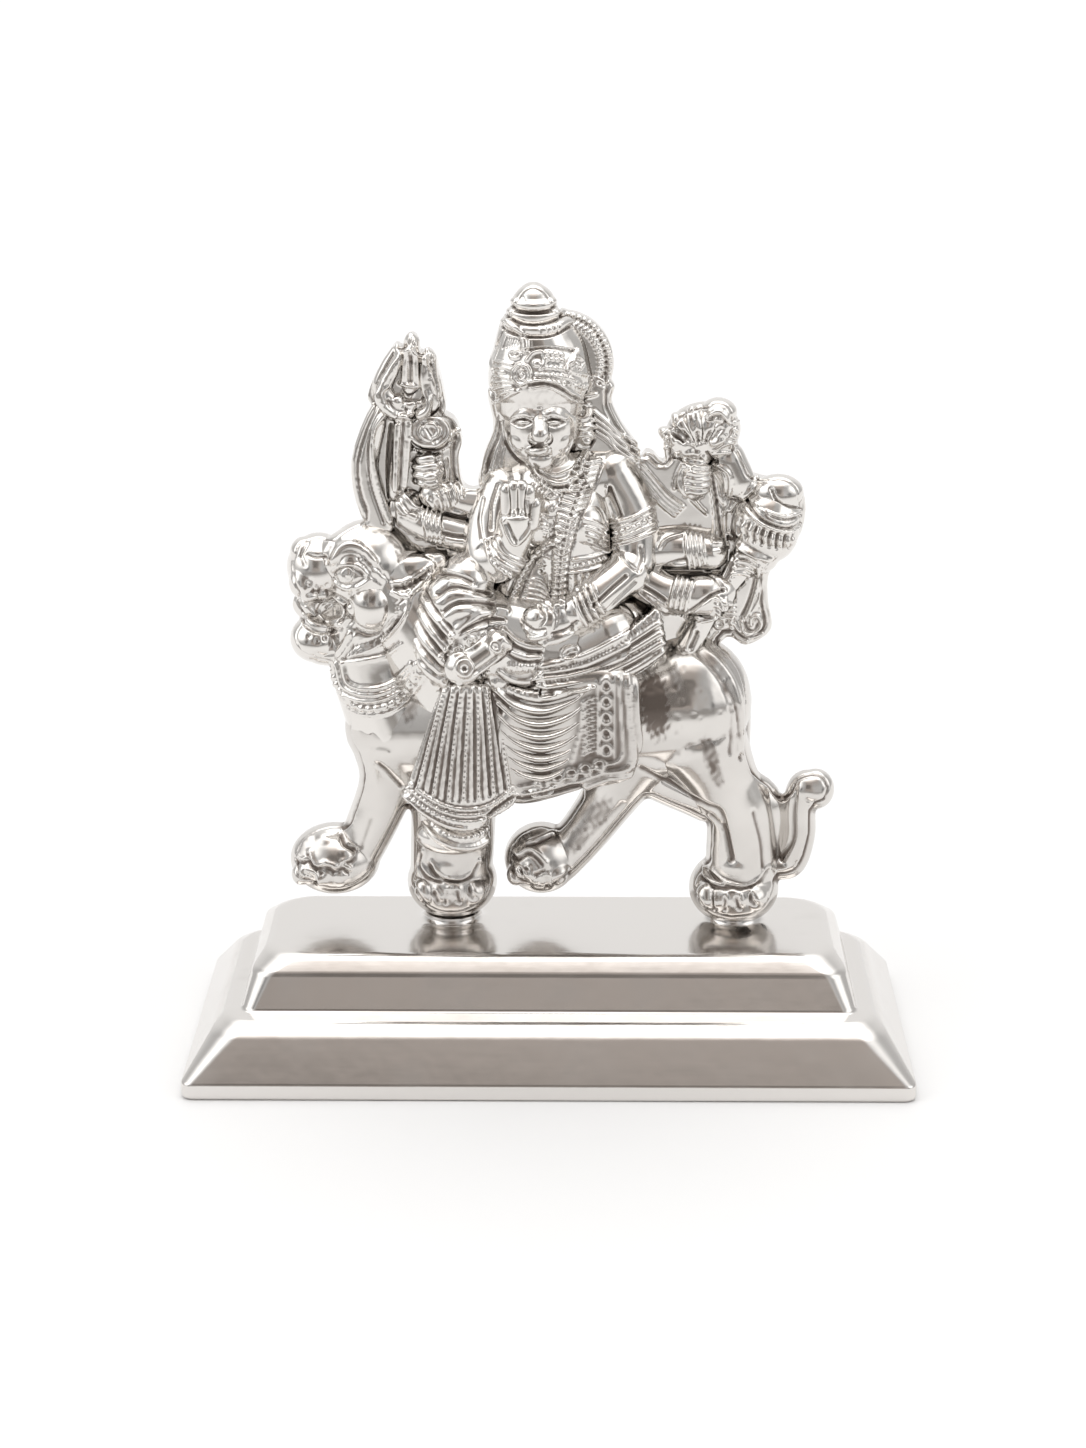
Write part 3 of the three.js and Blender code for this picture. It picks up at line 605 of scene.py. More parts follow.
# %% The sword side
SWORD_SIDE_LIMBS = (
    (((500, 506, -2, 16), (462, 500, -8, 13), (434, 494, -10, 12)), 1),
    (((500, 548, -2, 18), (470, 538, -10, 15), (436, 528, -12, 14), (408, 516, -12, 12)), 1),
    (((404, 412, -12, 6), (396, 492, -12, 6)), 1),
    (((412, 342, -8, 8), (411, 360, -10, 7), (411, 384, -10, 6)), 1),
    (((396, 352, -6, 6), (388, 368, -10, 8), (381, 388, -12, 8), (392, 404, -12, 7),
      (408, 410, -12, 6)), 1),
    (((429, 358, -6, 8), (431, 376, -10, 7), (434, 396, -10, 7), (424, 410, -12, 6)), 1))
SWORD_SIDE_EGGS = (
    ((430, 470, -10), (12, 12, 15)), ((406, 508, -10), (14, 13, 14), 20), ((430, 433, -8), (16, 10, 12)))
work(limb, SWORD_SIDE_LIMBS)
work(egg, SWORD_SIDE_EGGS)
SWORD_BACKING = [
    [372, 404], [384, 412], [446, 412], [462, 436], [459, 455], [463, 482], [476, 488],
    [500, 480], [500, 580], [448, 574], [436, 552], [392, 540], [361, 512], [352, 458]]
TRIDENT = [[372, 402], [371, 384], [384, 360], [393, 346], [398, 343], [403, 346], [407, 336], [412, 333],
           [418, 338], [421, 351], [429, 349], [436, 357], [440, 372], [444, 390], [444, 412], [410, 420]]
BLADE = [[372, 404], [384, 414], [376, 458], [379, 488],
         [392, 522], [382, 531], [361, 512], [352, 458]]
plate(SWORD_BACKING, -6, 18)
plate(TRIDENT, -9, 16)
plate(BLADE, -18, 12, 5)
sword_side = cast("sword_side", 0.13, 5)

# %% The lotus side
LOTUS_SIDE_EGGS = (
    ((703, 431, -2), (37, 24, 29), -10), ((720, 410, -10), (17, 20, 12), 10),
    ((778, 492, -4), (25, 22, 18)), ((694, 478, -16), (13, 14, 18)), ((712, 594, -24), (21, 16, 17), -20))
LOTUS_SIDE_LIMBS = (
    (((728, 458, 0, 17), (738, 480, 0, 17)), 1),
    (((758, 552, -4, 22), (764, 538, -4, 31), (768, 521, -4, 33), (775, 507, -4, 28),
      (783, 494, -4, 18)), 1),
    (((764, 546, -12, 13), (740, 566, -18, 10), (712, 606, -24, 7), (688, 646, -22, 9)), 1),
    (((640, 552, -4, 20), (676, 548, -14, 17), (710, 552, -18, 15)), 1),
    (((636, 576, -10, 18), (668, 592, -20, 17), (706, 594, -24, 19)), 1))
work(egg, LOTUS_SIDE_EGGS)
work(limb, LOTUS_SIDE_LIMBS)
LOTUS_BACKING = [
    [640, 457], [664, 461], [665, 434], [700, 410], [736, 414], [738, 452],
    [754, 474], [800, 486], [800, 530], [770, 566], [767, 596], [770, 626],
    [745, 642], [726, 634], [700, 660], [640, 672], [616, 640], [616, 600]]
plate(LOTUS_BACKING, -6, 18)
for lean in (-62, -36, -12, 12, 36):
    turn = math.radians(lean)
    egg((701 + 27 * math.sin(turn), 451 - 26 * math.cos(turn), -14), (8.5, 15, 21), lean)
lotus_side = cast("lotus_side", 0.13, 5)

FIGURE = (tiger_body, tiger_head, saddle_cloth, skirt,
          torso_and_arms, head_and_crown, sword_side, lotus_side)

# %% [markdown]
# ## The pressed border
# The two halves of the real figure meet in a soft round border that runs round every outline,
# with a fine step where the relief rises from it. The distance of each spot from the outline of
# the whole figure tells where that step goes.

# %% A soft border round every outline
BORDER = 8.5
BORDER_LIFT = 4.5
BORDER_CUT = 2.2
DEEPEST_CELL = 16
SOFTENINGS = 3
SIDES = ((0, 1), (0, -1), (1, 0), (-1, 0))
CORNERS = ((1, 1), (1, -1), (-1, 1), (-1, -1))


def grown(cells, corners):
    out = cells.copy()
    for step in SIDES + CORNERS if corners else SIDES:
        out |= np.roll(cells, step, (0, 1))
    return out


chasers = {piece.name: Chaser(piece) for piece in FIGURE}
cells = np.zeros(SHEET, bool)
for chaser in chasers.values():
    cells[chaser.columns.astype(int), chaser.rows.astype(int)] = True
empty = ~grown(grown(cells, True), False)
empty = grown(grown(empty, True), False)
inside = np.zeros(cells.shape)
for ring_of_cells in range(DEEPEST_CELL):
    inside += ~empty
    empty = grown(empty, ring_of_cells % 2 == 1)
for _ in range(SOFTENINGS):
    inside = (inside + sum(np.roll(inside, step, axis) for step in (1, -1) for axis in (0, 1))) / 5


def border(chaser):
    across, down = chaser.columns - 0.5, chaser.rows - 0.5
    left, top = across.astype(int), down.astype(int)
    right_share, low_share = across - left, down - top
    upper = inside[left, top] * (1 - right_share) + inside[left + 1, top] * right_share
    lower = inside[left, top + 1] * (1 - right_share) + inside[left + 1, top + 1] * right_share
    depth = upper * (1 - low_share) + lower * low_share
    lift = np.clip((depth - BORDER + 1.5) / 3, 0, 1)
    lift = lift * lift * (3 - 2 * lift)
    step = np.exp(-((depth - BORDER + 1) / 1.4) ** 2)
    chaser.rise += (BORDER_LIFT * lift - BORDER_CUT * step) * chaser.front


for chaser in chasers.values():
    border(chaser)
print("the figure covers", int(cells.sum()), "squares of the drawing")

# %% [markdown]
# ## Chasing the tiger
# The animal is nearly plain. It has an eye, a brow, whisker pads, an open mouth with a double
# lip, a ruff of short hairs along the jaw, a collar of ridges with a fringe, and toes.

# %% The strokes on the tiger's head
TIGER_HEAD_GROOVES = (
    (((310, 557), (318, 558.5), (327, 557)), 2.2, 3), (((309, 546), (304, 556), (307, 566)), 2, 1.6),
    (((336, 572), (342, 569), (349, 567.5), (357, 570), (365, 575)), 1.6, 2.4),
    (((336, 576), (342, 581), (351, 583), (359, 581), (365, 577)), 1.6, 2.2),
    (((352, 594), (356, 585), (366, 579)), 2, 1.6),
    (((357, 628), (369, 633), (383, 630), (395, 617)), 2.6, 2.4),
    (((338, 565), (344, 558), (352, 555.5), (361, 559)), 1.6, 1.6),
    (((318, 610), (321, 604), (329, 601), (338, 603)), 1.8, 2),
    (((303, 620), (308, 629), (318, 634), (331, 633), (345, 628)), 1.6, 2.2),
    (((316, 651), (324, 654), (334, 653)), 1.6, 1.8),
    (((345, 659), (366, 656), (388, 650), (401, 640)), 1.8, 2.4),
    (((395, 588), (405, 588), (417, 581), (428, 570)), 2.2, 4),
    (((398, 562), (414, 556), (431, 560)), 2, 1.8))
TIGER_HEAD_SWELLS = (
    (((337, 543), (334, 552), (329, 560)), 6, -2.5), (((338, 568), (348, 574), (360, 574)), 9, -2.4),
    (((335, 561), (341, 551), (352, 547), (365, 552), (374, 562)), 6, 3.4))
TIGER_HEAD_BOSSES = (
    ((349, 574), (12, 8), 2), ((348.5, 574), (2, 2), 1.8), ((332, 611), (15, 10), -3.6, 10, 0.8))
TIGER_HEAD_RINGS = (
    ((348.5, 574), (4.2, 4), 1.4, 1.6),)
TIGER_HEAD_CORDS = (
    (((335, 569), (342, 565), (350, 563.5), (359, 566), (367, 573)), 2, 2),
    (((338, 580), (345, 586), (355, 587), (364, 583), (371, 578)), 1.8, 1.6),
    (((308, 606), (317, 616), (328, 622), (342, 620)), 3.4, 3),
    (((304, 615), (309, 624), (318, 629), (330, 629), (343, 624)), 2.4, 3.2),
    (((352, 633), (346, 645), (338, 656)), 2.2, 3), (((357, 635), (351, 647), (343, 658)), 1.8, 2.2),
    (((344, 662), (366, 659.5), (390, 653), (404, 643)), 1.6, 1.8),
    (((326, 671), (339, 697), (355, 710), (371, 714), (392, 710), (414, 693), (428, 674)), 1.8, 1.8),
    (((394, 583), (404, 582), (418, 574), (432, 565)), 2, 2.4),
    (((394, 592), (405, 597), (415, 590), (427, 574)), 2.2, 3))
# A negative patch that takes back some of the darkening inside the open mouth
TIGER_HEAD_MOUTH_LIGHTENING = (
    ((331, 611), (17, 12), -0.4),)
EYE_FUR = ((361, 562), (367, 568), (374, 566), (380, 571), (386, 577), (371, 575), (368, 560), (377, 579))
# Dark streaks on the whisker pads and the chin, painted into the colour
WHISKER_DARK_STREAKS = (
    (305, 586, 3), (311, 588, 4), (318, 586, 5), (325, 589, 3), (308, 640, 4), (316, 642, 3))
# Painted reflections: dark vertical streaks on the cheek
CHEEK_PAINTED_REFLECTIONS = ((367, 596, 11), (373, 598, 9), (384, 606, 7), (361, 592, 6))
WHISKER_ROOTS = ((316, 584), (321, 586), (326, 583), (312, 580), (308, 584))
LIP = ((307, 595), (318, 592.5), (329, 593), (340, 597), (349, 603), (352, 612), (349, 622), (340, 628))
CHIN_DOTS = ((310, 638), (317, 641), (323, 639))
JAW_RUFF = ((403, 600), (401, 615), (393, 629), (380, 638), (366, 645), (350, 651))
LIP_TURN = 340
COLLAR_FRINGE = ((330, 668), (342, 692), (356, 704), (371, 708), (390, 704), (410, 688), (424, 670))
tally("the tiger's head", TIGER_HEAD_GROOVES, TIGER_HEAD_SWELLS, TIGER_HEAD_BOSSES, TIGER_HEAD_RINGS,
      TIGER_HEAD_CORDS, TIGER_HEAD_MOUTH_LIGHTENING, EYE_FUR, WHISKER_DARK_STREAKS, CHEEK_PAINTED_REFLECTIONS, WHISKER_ROOTS, LIP,
      CHIN_DOTS, JAW_RUFF, COLLAR_FRINGE)

# %% Chase the tiger's head
head = chasers["tiger_head"]
work(head.groove, TIGER_HEAD_GROOVES)
work(head.swell, TIGER_HEAD_SWELLS)
work(head.boss, TIGER_HEAD_BOSSES)
work(head.ring, TIGER_HEAD_RINGS)
work(head.cord, TIGER_HEAD_CORDS)
work(head.tone_patch, TIGER_HEAD_MOUTH_LIGHTENING)
for column, row in EYE_FUR:
    head.groove([(column - 2.6, row - 4), (column, row), (column + 3.4, row + 3.6)], 1.4, 2)
for column, row, reach in WHISKER_DARK_STREAKS:
    head.tone_patch((column, row), (1.8, reach), 0.8)
for column, row, reach in CHEEK_PAINTED_REFLECTIONS:
    head.tone_patch((column, row), (2.6, reach), 0.85, -12)
for column, row in WHISKER_ROOTS:
    head.boss((column, row), (1.6, 1.6), -2.2)
head.cord(LIP, 2.6, 3.4)
inner_edge = [(column, row + 4.5) if column < LIP_TURN else (column - 4, row + 1) for column, row in LIP]
outer_edge = [(column + 1, row - 4) if column < LIP_TURN else (column + 4.5, row - 1) for column, row in LIP]
head.groove(inner_edge, 1.8, 3)
head.groove(outer_edge, 1.5, 1.6)
for column, row in CHIN_DOTS:
    head.boss((column, row), (1.8, 2.4), -2)
for index, (column, row) in enumerate(smooth_line(JAW_RUFF, 4)):
    lean = 4.5 - 0.12 * index
    head.groove([(column + 5, row - 6), (column, row), (column - lean, row + 5)], 1.5, 2.6)
    head.cord([(column + 7.4, row - 5), (column + 2.6, row + 1), (column - lean + 2, row + 6)], 1.5, 1.8)
for turn in range(3):
    reach = turn * 6.2
    head.cord([(345 - reach, 662), (351 - reach * 0.7, 682 + reach * 0.6), (371, 688 + reach),
               (392 + reach * 0.7, 682 + reach * 0.6), (413 + reach, 662)], 2.3, 3)
head.beads(COLLAR_FRINGE, 3.6, 3.4, 7)
for share in (0.2, 0.4, 0.6, 0.8):
    column, row = between(398, 424, share), between(591, 574, share)
    head.groove([(column, row - 3), (column + 2, row + 4)], 1.3, 2)
head.finish()

# %% The strokes on the tiger's body
TIGER_BODY_SWELLS = (
    (((702, 649), (727, 677), (738, 712), (736, 752)), 5, 2.4),)
TIGER_BODY_GROOVES = (
    (((694, 652), (718, 680), (729, 712), (727, 752)), 3, 1.6),
    (((641, 765), (673, 783), (706, 801), (723, 812), (732, 858)), 3.4, 2.4),
    (((712, 811), (726, 828), (734, 858)), 3, 2), (((723, 683), (734, 712), (737, 758)), 2.4, 1.4),
    (((751, 811), (758, 840), (760, 866)), 2.6, 2),
    (((797, 786), (795, 812), (794, 838), (782, 860)), 2.8, 3),
    (((806, 797), (815, 800), (824, 797)), 2.2, 2.4), (((352, 800), (348, 818), (344, 832)), 2.6, 1.6),
    (((372, 818), (367, 832), (362, 846)), 2.4, 1.6), (((622, 800), (598, 826), (578, 846)), 3, 1.6),
    (((380, 762), (390, 772), (400, 784)), 2.4, 2.6))
TIGER_BODY_CORDS = (
    (((417, 838), (434, 846), (455, 848), (476, 845), (488, 838)), 2, 2),)
# Painted reflections: dark blotches on the haunch, legs and chest, where smooth silver would mirror dark
# things
TIGER_BODY_PAINTED_REFLECTIONS = (
    ((655, 704), (15, 31), 0.95, -6), ((677, 683), (7, 17), 0.4, -14), ((709, 752), (7, 18), 0.45, -16),
    ((715, 772), (6, 14), 0.35, -22), ((370, 722), (4, 12), 0.75, -8), ((411, 708), (8, 16), 0.4, 8),
    ((598, 812), (10, 20), 0.4, 40), ((578, 838), (8, 16), 0.35, 35))
PAW_FOLDS = (
    ((341, 838), (345, 848), (354, 852), (350, 861), (340, 865)), ((296, 859), (302, 865), (308, 862)),
    ((310, 856), (313, 865), (319, 869), (325, 865)), ((304, 874), (313, 877), (319, 884)),
    ((322, 874), (325, 868), (333, 869)), ((333, 872), (341, 868), (347, 872)),
    ((424, 853), (422, 865), (430, 877), (442, 882)),
    ((432, 864), (441, 877), (457, 881), (468, 876), (476, 862)), ((436, 892), (439, 900)),
    ((448, 891), (446, 901)), ((457, 891), (459, 900)), ((470, 888), (474, 897)),
    ((529, 847), (538, 844), (550, 838)),
    ((514, 853), (520, 859), (529, 853), (538, 859), (544, 868), (535, 874)),
    ((520, 871), (529, 880), (528, 868)), ((547, 877), (547, 888)), ((512, 868), (516, 876)),
    ((703, 866), (704, 878), (714, 886), (728, 888)),
    ((712, 872), (724, 884), (742, 888), (756, 880), (764, 868)), ((712, 896), (715, 906)),
    ((724, 897), (725, 907)), ((737, 897), (739, 906)), ((750, 894), (755, 902)))
KNUCKLES = (
    ((307, 842), (8, 7)), ((345, 853), (7, 6)), ((325, 841), (8, 6)), ((424, 886), (6, 6)),
    ((445, 868), (12, 8)), ((520, 850), (8, 7)), ((733, 868), (13, 8)), ((706, 888), (6, 6)))
tally("the tiger's body", TIGER_BODY_SWELLS, TIGER_BODY_GROOVES, TIGER_BODY_CORDS, TIGER_BODY_PAINTED_REFLECTIONS,
      PAW_FOLDS, KNUCKLES)

# %% Chase the tiger's body
HAUNCH, HAUNCH_REACH, DENTS = (690, 706), (48, 54), 70
body = chasers["tiger_body"]
work(body.swell, TIGER_BODY_SWELLS)
work(body.groove, TIGER_BODY_GROOVES)
work(body.cord, TIGER_BODY_CORDS)
# Paint the dark reflections on the smooth body
work(body.tone_patch, TIGER_BODY_PAINTED_REFLECTIONS)
for line in PAW_FOLDS:
    body.groove(line, 2.2, 3.4)
    body.cord([(column + 1.5, row - 3.4) for column, row in line], 2.4, 2)
for spot, sizes in KNUCKLES:
    body.boss(spot, sizes, 1.6, 0, 1)
rng = np.random.default_rng(7)
for _ in range(DENTS):
    turn, share = rng.uniform(0, 2 * math.pi), math.sqrt(rng.uniform(0, 1))
    column = HAUNCH[0] + HAUNCH_REACH[0] * share * math.cos(turn)
    row = HAUNCH[1] + HAUNCH_REACH[1] * share * math.sin(turn)
    sizes = tuple(rng.uniform(1.5, 4.5, 2))
    depth, tilt = rng.uniform(0.15, 0.5), rng.uniform(0, 180)
    body.boss((column, row), sizes, -depth, tilt, 1)
# Painted darker reflection: the smooth body is darkened all over, so that it looks as if it mirrors darker
# surroundings
body.finish(darkening=0.36)

# %% [markdown]
# ## Chasing the cloths
# The saddle cloth has a scroll border and a ticked edge. The skirt is pulled into soft arches
# over the knee, gathered in a knot, and falls in a fan of pleats with beaded hems. Beside it
# hang curved folds, one under the other.

# %% The strokes on the saddle cloth
CLOTH_CORDS = (
    (((619, 678), (622, 720), (622, 756), (596, 765), (562, 777), (520, 786)), 1.6, 2.4),
    (((632, 668), (636, 720), (636, 767), (603, 778), (569, 790), (524, 800)), 1.8, 2.4),
    (((598, 680), (599, 715), (599, 752)), 1.5, 2.4), (((614, 676), (615, 715), (615, 756)), 1.3, 2),
    (((584, 700), (581, 730), (573, 760)), 1.5, 2.2))
tally("the saddle cloth", CLOTH_CORDS)

# %% Chase the saddle cloth
cloth = chasers["saddle_cloth"]
work(cloth.cord, CLOTH_CORDS)
edge = [(626, 670), (630, 720), (630, 764), (600, 772), (567, 784), (524, 793)]
cloth.beads(edge, 3, 2.6, 4.2)
for step in range(5):
    row = 684 + step * 16
    cloth.ring((606.5, row), (5, 6), 1.5, 3.2)
    cloth.boss((606.5, row), (3.4, 4.2), -2.4)
    cloth.cord([(607, row + 3), (604, row), (607, row - 3), (610, row)], 1.3, 2.6)
for step in range(5):
    column, row = 600 - step * 14, 763 + step * 4.4
    cloth.ring((column, row), (6, 4.6), 1.5, 3.2)
    cloth.boss((column, row), (4.2, 3.2), -2.4)
    cloth.cord([(column + 3, row), (column, row + 2), (column - 3, row), (column, row - 2)], 1.2, 1.8)
for step in range(13):
    row = 698 + step * 4.4
    cloth.cord([(584, row + 3), (589, row), (595, row - 2)], 1.4, 3)
    cloth.groove([(584, row + 5.2), (589, row + 2.2), (595, row + 0.2)], 1.1, 2)
cloth.finish(darkening=0.42)

# %% The strokes on the skirt
SKIRT_SWELLS = (
    (((450, 640), (461, 626), (474, 617), (492, 611), (506, 613)), 6, 3),)
SKIRT_GROOVES = (
    (((455, 640), (464, 630), (478, 622), (492, 619), (504, 621)), 2, 3),
    (((472, 672), (484, 664), (497, 654)), 1.8, 3),
    (((525, 788), (545, 783), (558, 773), (566, 760), (570, 742)), 1.2, 1.8))
SKIRT_CORDS = (
    (((444, 654), (453, 641), (466, 631), (480, 626), (504, 623)), 1.8, 2.6),
    (((449, 660), (460, 657), (476, 650), (490, 638), (503, 631)), 1.8, 2.6),
    (((424, 824), (438, 838), (458, 845), (478, 843), (498, 828)), 2.2, 3),
    (((528, 798), (558, 790), (574, 772), (581, 742), (587, 706), (595, 684)), 1.8, 2.6),
    (((564, 655), (570, 651), (577, 650)), 1.3, 1.6))
SKIRT_BEADS = (
    (((489, 633), (497, 630), (504, 629)), 2, 2, 4.5),)
SKIRT_BOSSES = (
    ((465, 668), (8.5, 8), 2.6), ((465, 668.5), (2.4, 2.4), -5), ((496, 647), (6.5, 6), 2.6),
    ((496, 647), (1.6, 1.6), -3), ((498, 638), (7, 5), 3))
SKIRT_RINGS = (
    ((465, 668), (6.4, 6), 1.4, 1.4), ((496, 647), (3.6, 3.4), 1.3, 1.6),
    ((570, 652), (9, 5), 1.4, 2.2, -18))
SKIRT_ROPES = (
    (((430, 822), (443, 832), (460, 838), (477, 835), (491, 824)), 2.6, 2.4, 5),
    (((524, 793), (546, 788), (562, 777), (571, 762), (575, 740)), 2.6, 2.4, 4.6))
# A broad darker patch over the fan of pleats
SKIRT_DARKENING = (
    ((462, 752), (58, 60), 0.32),)
KNEE_FOLDS = (
    ((436, 582), (448, 575), (463, 578), (472, 582)), ((441, 596), (455, 588), (474, 591), (488, 594)),
    ((446, 611), (457, 604), (474, 603), (490, 605)))
SHIN_FOLDS = (
    ((424, 594), (437, 615), (452, 634)), ((419, 603), (432, 626), (448, 648)),
    ((416, 616), (427, 638), (446, 661)), ((415, 632), (423, 650), (442, 670)),
    ((417, 650), (425, 664), (441, 678)))
KNOT_RINGS = ((458.5, 649), (469.5, 640), (481.5, 635.5))
HEM = ((401, 783), (411, 794), (426, 806), (446, 817), (467, 821), (488, 817), (505, 805), (520, 786))
HEM_ROWS = ((0, 5.4), (6.2, 4.8), (12.4, 4.8))
SWAGS = (
    ((493, 678), (515, 690), (541, 697), (570, 692), (592, 682)),
    ((498, 688), (518, 705), (545, 710), (572, 699), (588, 686)),
    ((500, 701), (520, 718), (542, 723), (566, 716), (583, 702)),
    ((500, 713), (516, 728), (539, 736), (561, 731), (580, 718)),
    ((503, 727), (519, 741), (540, 748), (560, 743), (577, 731)),
    ((506, 740), (521, 752), (541, 758), (560, 753), (574, 744)),
    ((509, 752), (524, 763), (542, 768), (559, 762), (571, 753)),
    ((512, 764), (527, 774), (544, 777), (558, 771), (567, 763)))
LOWEST_SWAG = ((515, 775), (529, 784), (545, 786), (556, 780), (563, 772))
LAP_FOLDS = (
    ((503, 630), (514, 640), (528, 646), (541, 647)), ((502, 642), (512, 651), (526, 656), (540, 656)),
    ((500, 668), (512, 676), (528, 678), (540, 674)), ((498, 677), (512, 685), (530, 687), (542, 683)))
SASHES = (
    (542, 664, 655, 612), (540, 671, 657, 622), (538, 678, 659, 632), (544, 686, 661, 641),
    (556, 691, 662, 650))
tally("the skirt", SKIRT_SWELLS, SKIRT_GROOVES, SKIRT_CORDS, SKIRT_BEADS, SKIRT_BOSSES, SKIRT_RINGS,
      SKIRT_ROPES, SKIRT_DARKENING, KNEE_FOLDS, SHIN_FOLDS, KNOT_RINGS, HEM, HEM_ROWS, SWAGS, LOWEST_SWAG,
      LAP_FOLDS, SASHES)

# %% Chase the skirt
PLEATS = 15
skirt_work = chasers["skirt"]
work(skirt_work.swell, SKIRT_SWELLS)
work(skirt_work.groove, SKIRT_GROOVES)
work(skirt_work.cord, SKIRT_CORDS)
work(skirt_work.beads, SKIRT_BEADS)
work(skirt_work.boss, SKIRT_BOSSES)
work(skirt_work.ring, SKIRT_RINGS)
work(skirt_work.rope, SKIRT_ROPES)
work(skirt_work.tone_patch, SKIRT_DARKENING)
for line in KNEE_FOLDS:
    skirt_work.groove(line, 2.6, 3.2)
    skirt_work.swell([(column, row + 8) for column, row in line], 7, 2.4)
for line in SHIN_FOLDS:
    skirt_work.cord(line, 3.2, 3.6)
    skirt_work.groove([(column + 4.6, row - 2) for column, row in line], 1.6, 2.4)
for spot in KNOT_RINGS:
    skirt_work.ring(spot, (4.8, 4.6), 1.4, 2.4)
    skirt_work.boss(spot, (2, 2), 2.4)
for step in range(7):
    column = 446 + step * 7
    row = 681 + 3.4 * math.sin(step / 6 * math.pi)
    skirt_work.boss((column, row), (3.4, 4.4), 3.4, 20 - step * 6)
for index in range(PLEATS):
    share = index / (PLEATS - 1)
    foot = (between(409, 512, share), 783 + 17 * math.sin(share * math.pi) ** 0.8)
    top = (between(441, 493, share), 690)
    pleat = [top, (between(top[0], foot[0], 0.5), 738), foot]
    skirt_work.groove(pleat, 1.7, 2.8 if index % 2 else 1.8)
    if index % 2:
        crest = [(column + 3.4, row) for column, row in pleat]
        skirt_work.swell(crest, 3.4, 2)
        skirt_work.beads(crest, 1.3, 1.6, 5.2)
for back_off, pitch in HEM_ROWS:
    skirt_work.rope([(column, row - back_off) for column, row in HEM], 2.6, 2.8, pitch)
    skirt_work.groove([(column, row - back_off - 3.1) for column, row in HEM], 1.1, 1.8)
skirt_work.cord([(column, row + 5.4) for column, row in HEM], 2, 3)
for upper, lower in zip(SWAGS, SWAGS[1:] + (LOWEST_SWAG,)):
    middle = [((one[0] + two[0]) / 2, (one[1] + two[1]) / 2) for one, two in zip(upper, lower)]
    skirt_work.swell(upper, 5.6, 4)
    skirt_work.groove(middle, 2.2, 3)
    skirt_work.cord([(column, row - 1) for column, row in upper], 1.6, 1)
for index, (left, low, right, high) in enumerate(SASHES):
    line = [(left, low), (between(left, right, 0.35), between(low, high, 0.2) + 2),
            (between(left, right, 0.7), between(low, high, 0.58) + 2), (right, high)]
    skirt_work.cord(line, 2.8, 3.6)
    if index in (0, 2):
        skirt_work.beads([(column, row + 4.4) for column, row in line], 1.6, 1.8, 4)
for line in LAP_FOLDS:
    skirt_work.cord(line, 2.8, 3.4)
    skirt_work.groove([(column, row + 4) for column, row in line], 1.6, 2.6)
for column in (510, 515.5, 521, 527, 533):
    skirt_work.boss((column, 665), (2.6, 5), 3)
skirt_work.finish(darkening=0.14)

# %% [markdown]
# ## Chasing the goddess
# Her dress is worked all over: a double neckline, two garlands that cross, beads, bangles and an
# armlet. The head keeps to the plain proportions that drawing books teach: the brow a third of
# the way from the hairline to the chin, the nose's foot at two thirds, and eyes one eye apart.

# %% The strokes on the torso and the front arms
TORSO_CORDS = (
    (((533, 465), (543, 478), (558, 484), (575, 477), (587, 455)), 2.2, 3.4),
    (((537, 464), (547, 474), (558, 477), (572, 470), (583, 456)), 1.6, 2.2),
    (((541, 528), (551, 531), (561, 528)), 1.2, 1.8), (((573, 558), (588, 556), (606, 550)), 1.8, 2.8),
    (((570, 571), (586, 569), (605, 563)), 1.8, 2.8), (((606, 486), (609, 500), (614, 516)), 2, 2),
    (((612, 523), (631, 518.5), (651, 505)), 1.8, 3), (((619, 544), (634, 539), (653, 529)), 1.8, 3),
    (((616, 538), (632, 533), (652, 522)), 1.2, 2), (((614, 527.5), (631, 523), (651, 511)), 1.2, 2),
    (((546, 640), (560, 636), (576, 628)), 3.4, 3.6),
    (((507, 520), (511, 532), (516, 542), (524, 534), (530, 520)), 1.8, 2))
TORSO_GROOVES = (
    (((531, 467), (542, 481.5), (558, 488), (577, 481), (590, 458)), 1.4, 2),
    (((550, 503), (553, 510), (557, 504)), 1.2, 2), (((610, 488), (615, 500), (621, 515)), 3.6, 7),
    (((626, 576), (610, 590), (592, 607)), 2.6, 4.5), (((634, 580), (616, 597), (600, 613)), 1.5, 2.4),
    (((619, 548), (625, 562), (634, 570)), 1.8, 2.6), (((640, 546), (641, 560), (637, 571)), 2, 3),
    (((541, 609), (546, 618), (541, 626)), 1.8, 3), (((548, 607), (556, 617), (554, 628)), 1.6, 2.4),
    (((528, 624), (536, 629), (546, 628)), 2, 3.6), (((553, 632), (566, 628), (577, 620)), 2.2, 4),
    (((505, 515), (517, 516.5), (531, 514)), 1.2, 2), (((510, 523), (514, 534), (517, 541)), 2.4, 3),
    (((529, 498), (530.5, 508), (529.5, 518)), 1.6, 4), (((500, 486), (494, 506), (492, 530)), 2.4, 1.8),
    (((486, 500), (482, 520), (484, 540)), 2.4, 1.4))
TORSO_BEADS = (
    (((534, 475), (545, 485), (558, 491), (572, 487)), 2.4, 2.8, 5),
    (((534, 484), (545, 493), (556, 500)), 1.6, 1.8, 4),
    (((536, 556), (545, 553), (553, 556)), 1.8, 2, 4),
    (((573, 565), (588, 562.5), (605, 557)), 2.6, 2.6, 5.4),
    (((616, 533), (631, 528), (650, 517)), 2.4, 2.6, 5.6),
    (((492, 548), (502, 564), (516, 574)), 1.8, 2, 4.4))
TORSO_RINGS = (
    ((551.5, 496), (4.4, 4.2), 1.4, 2.4),)
TORSO_BOSSES = (
    ((551.5, 496), (1.8, 1.8), 2.6), ((553, 508), (7, 7), 3.2, 0, 0.8), ((534, 616), (9, 9), 3))
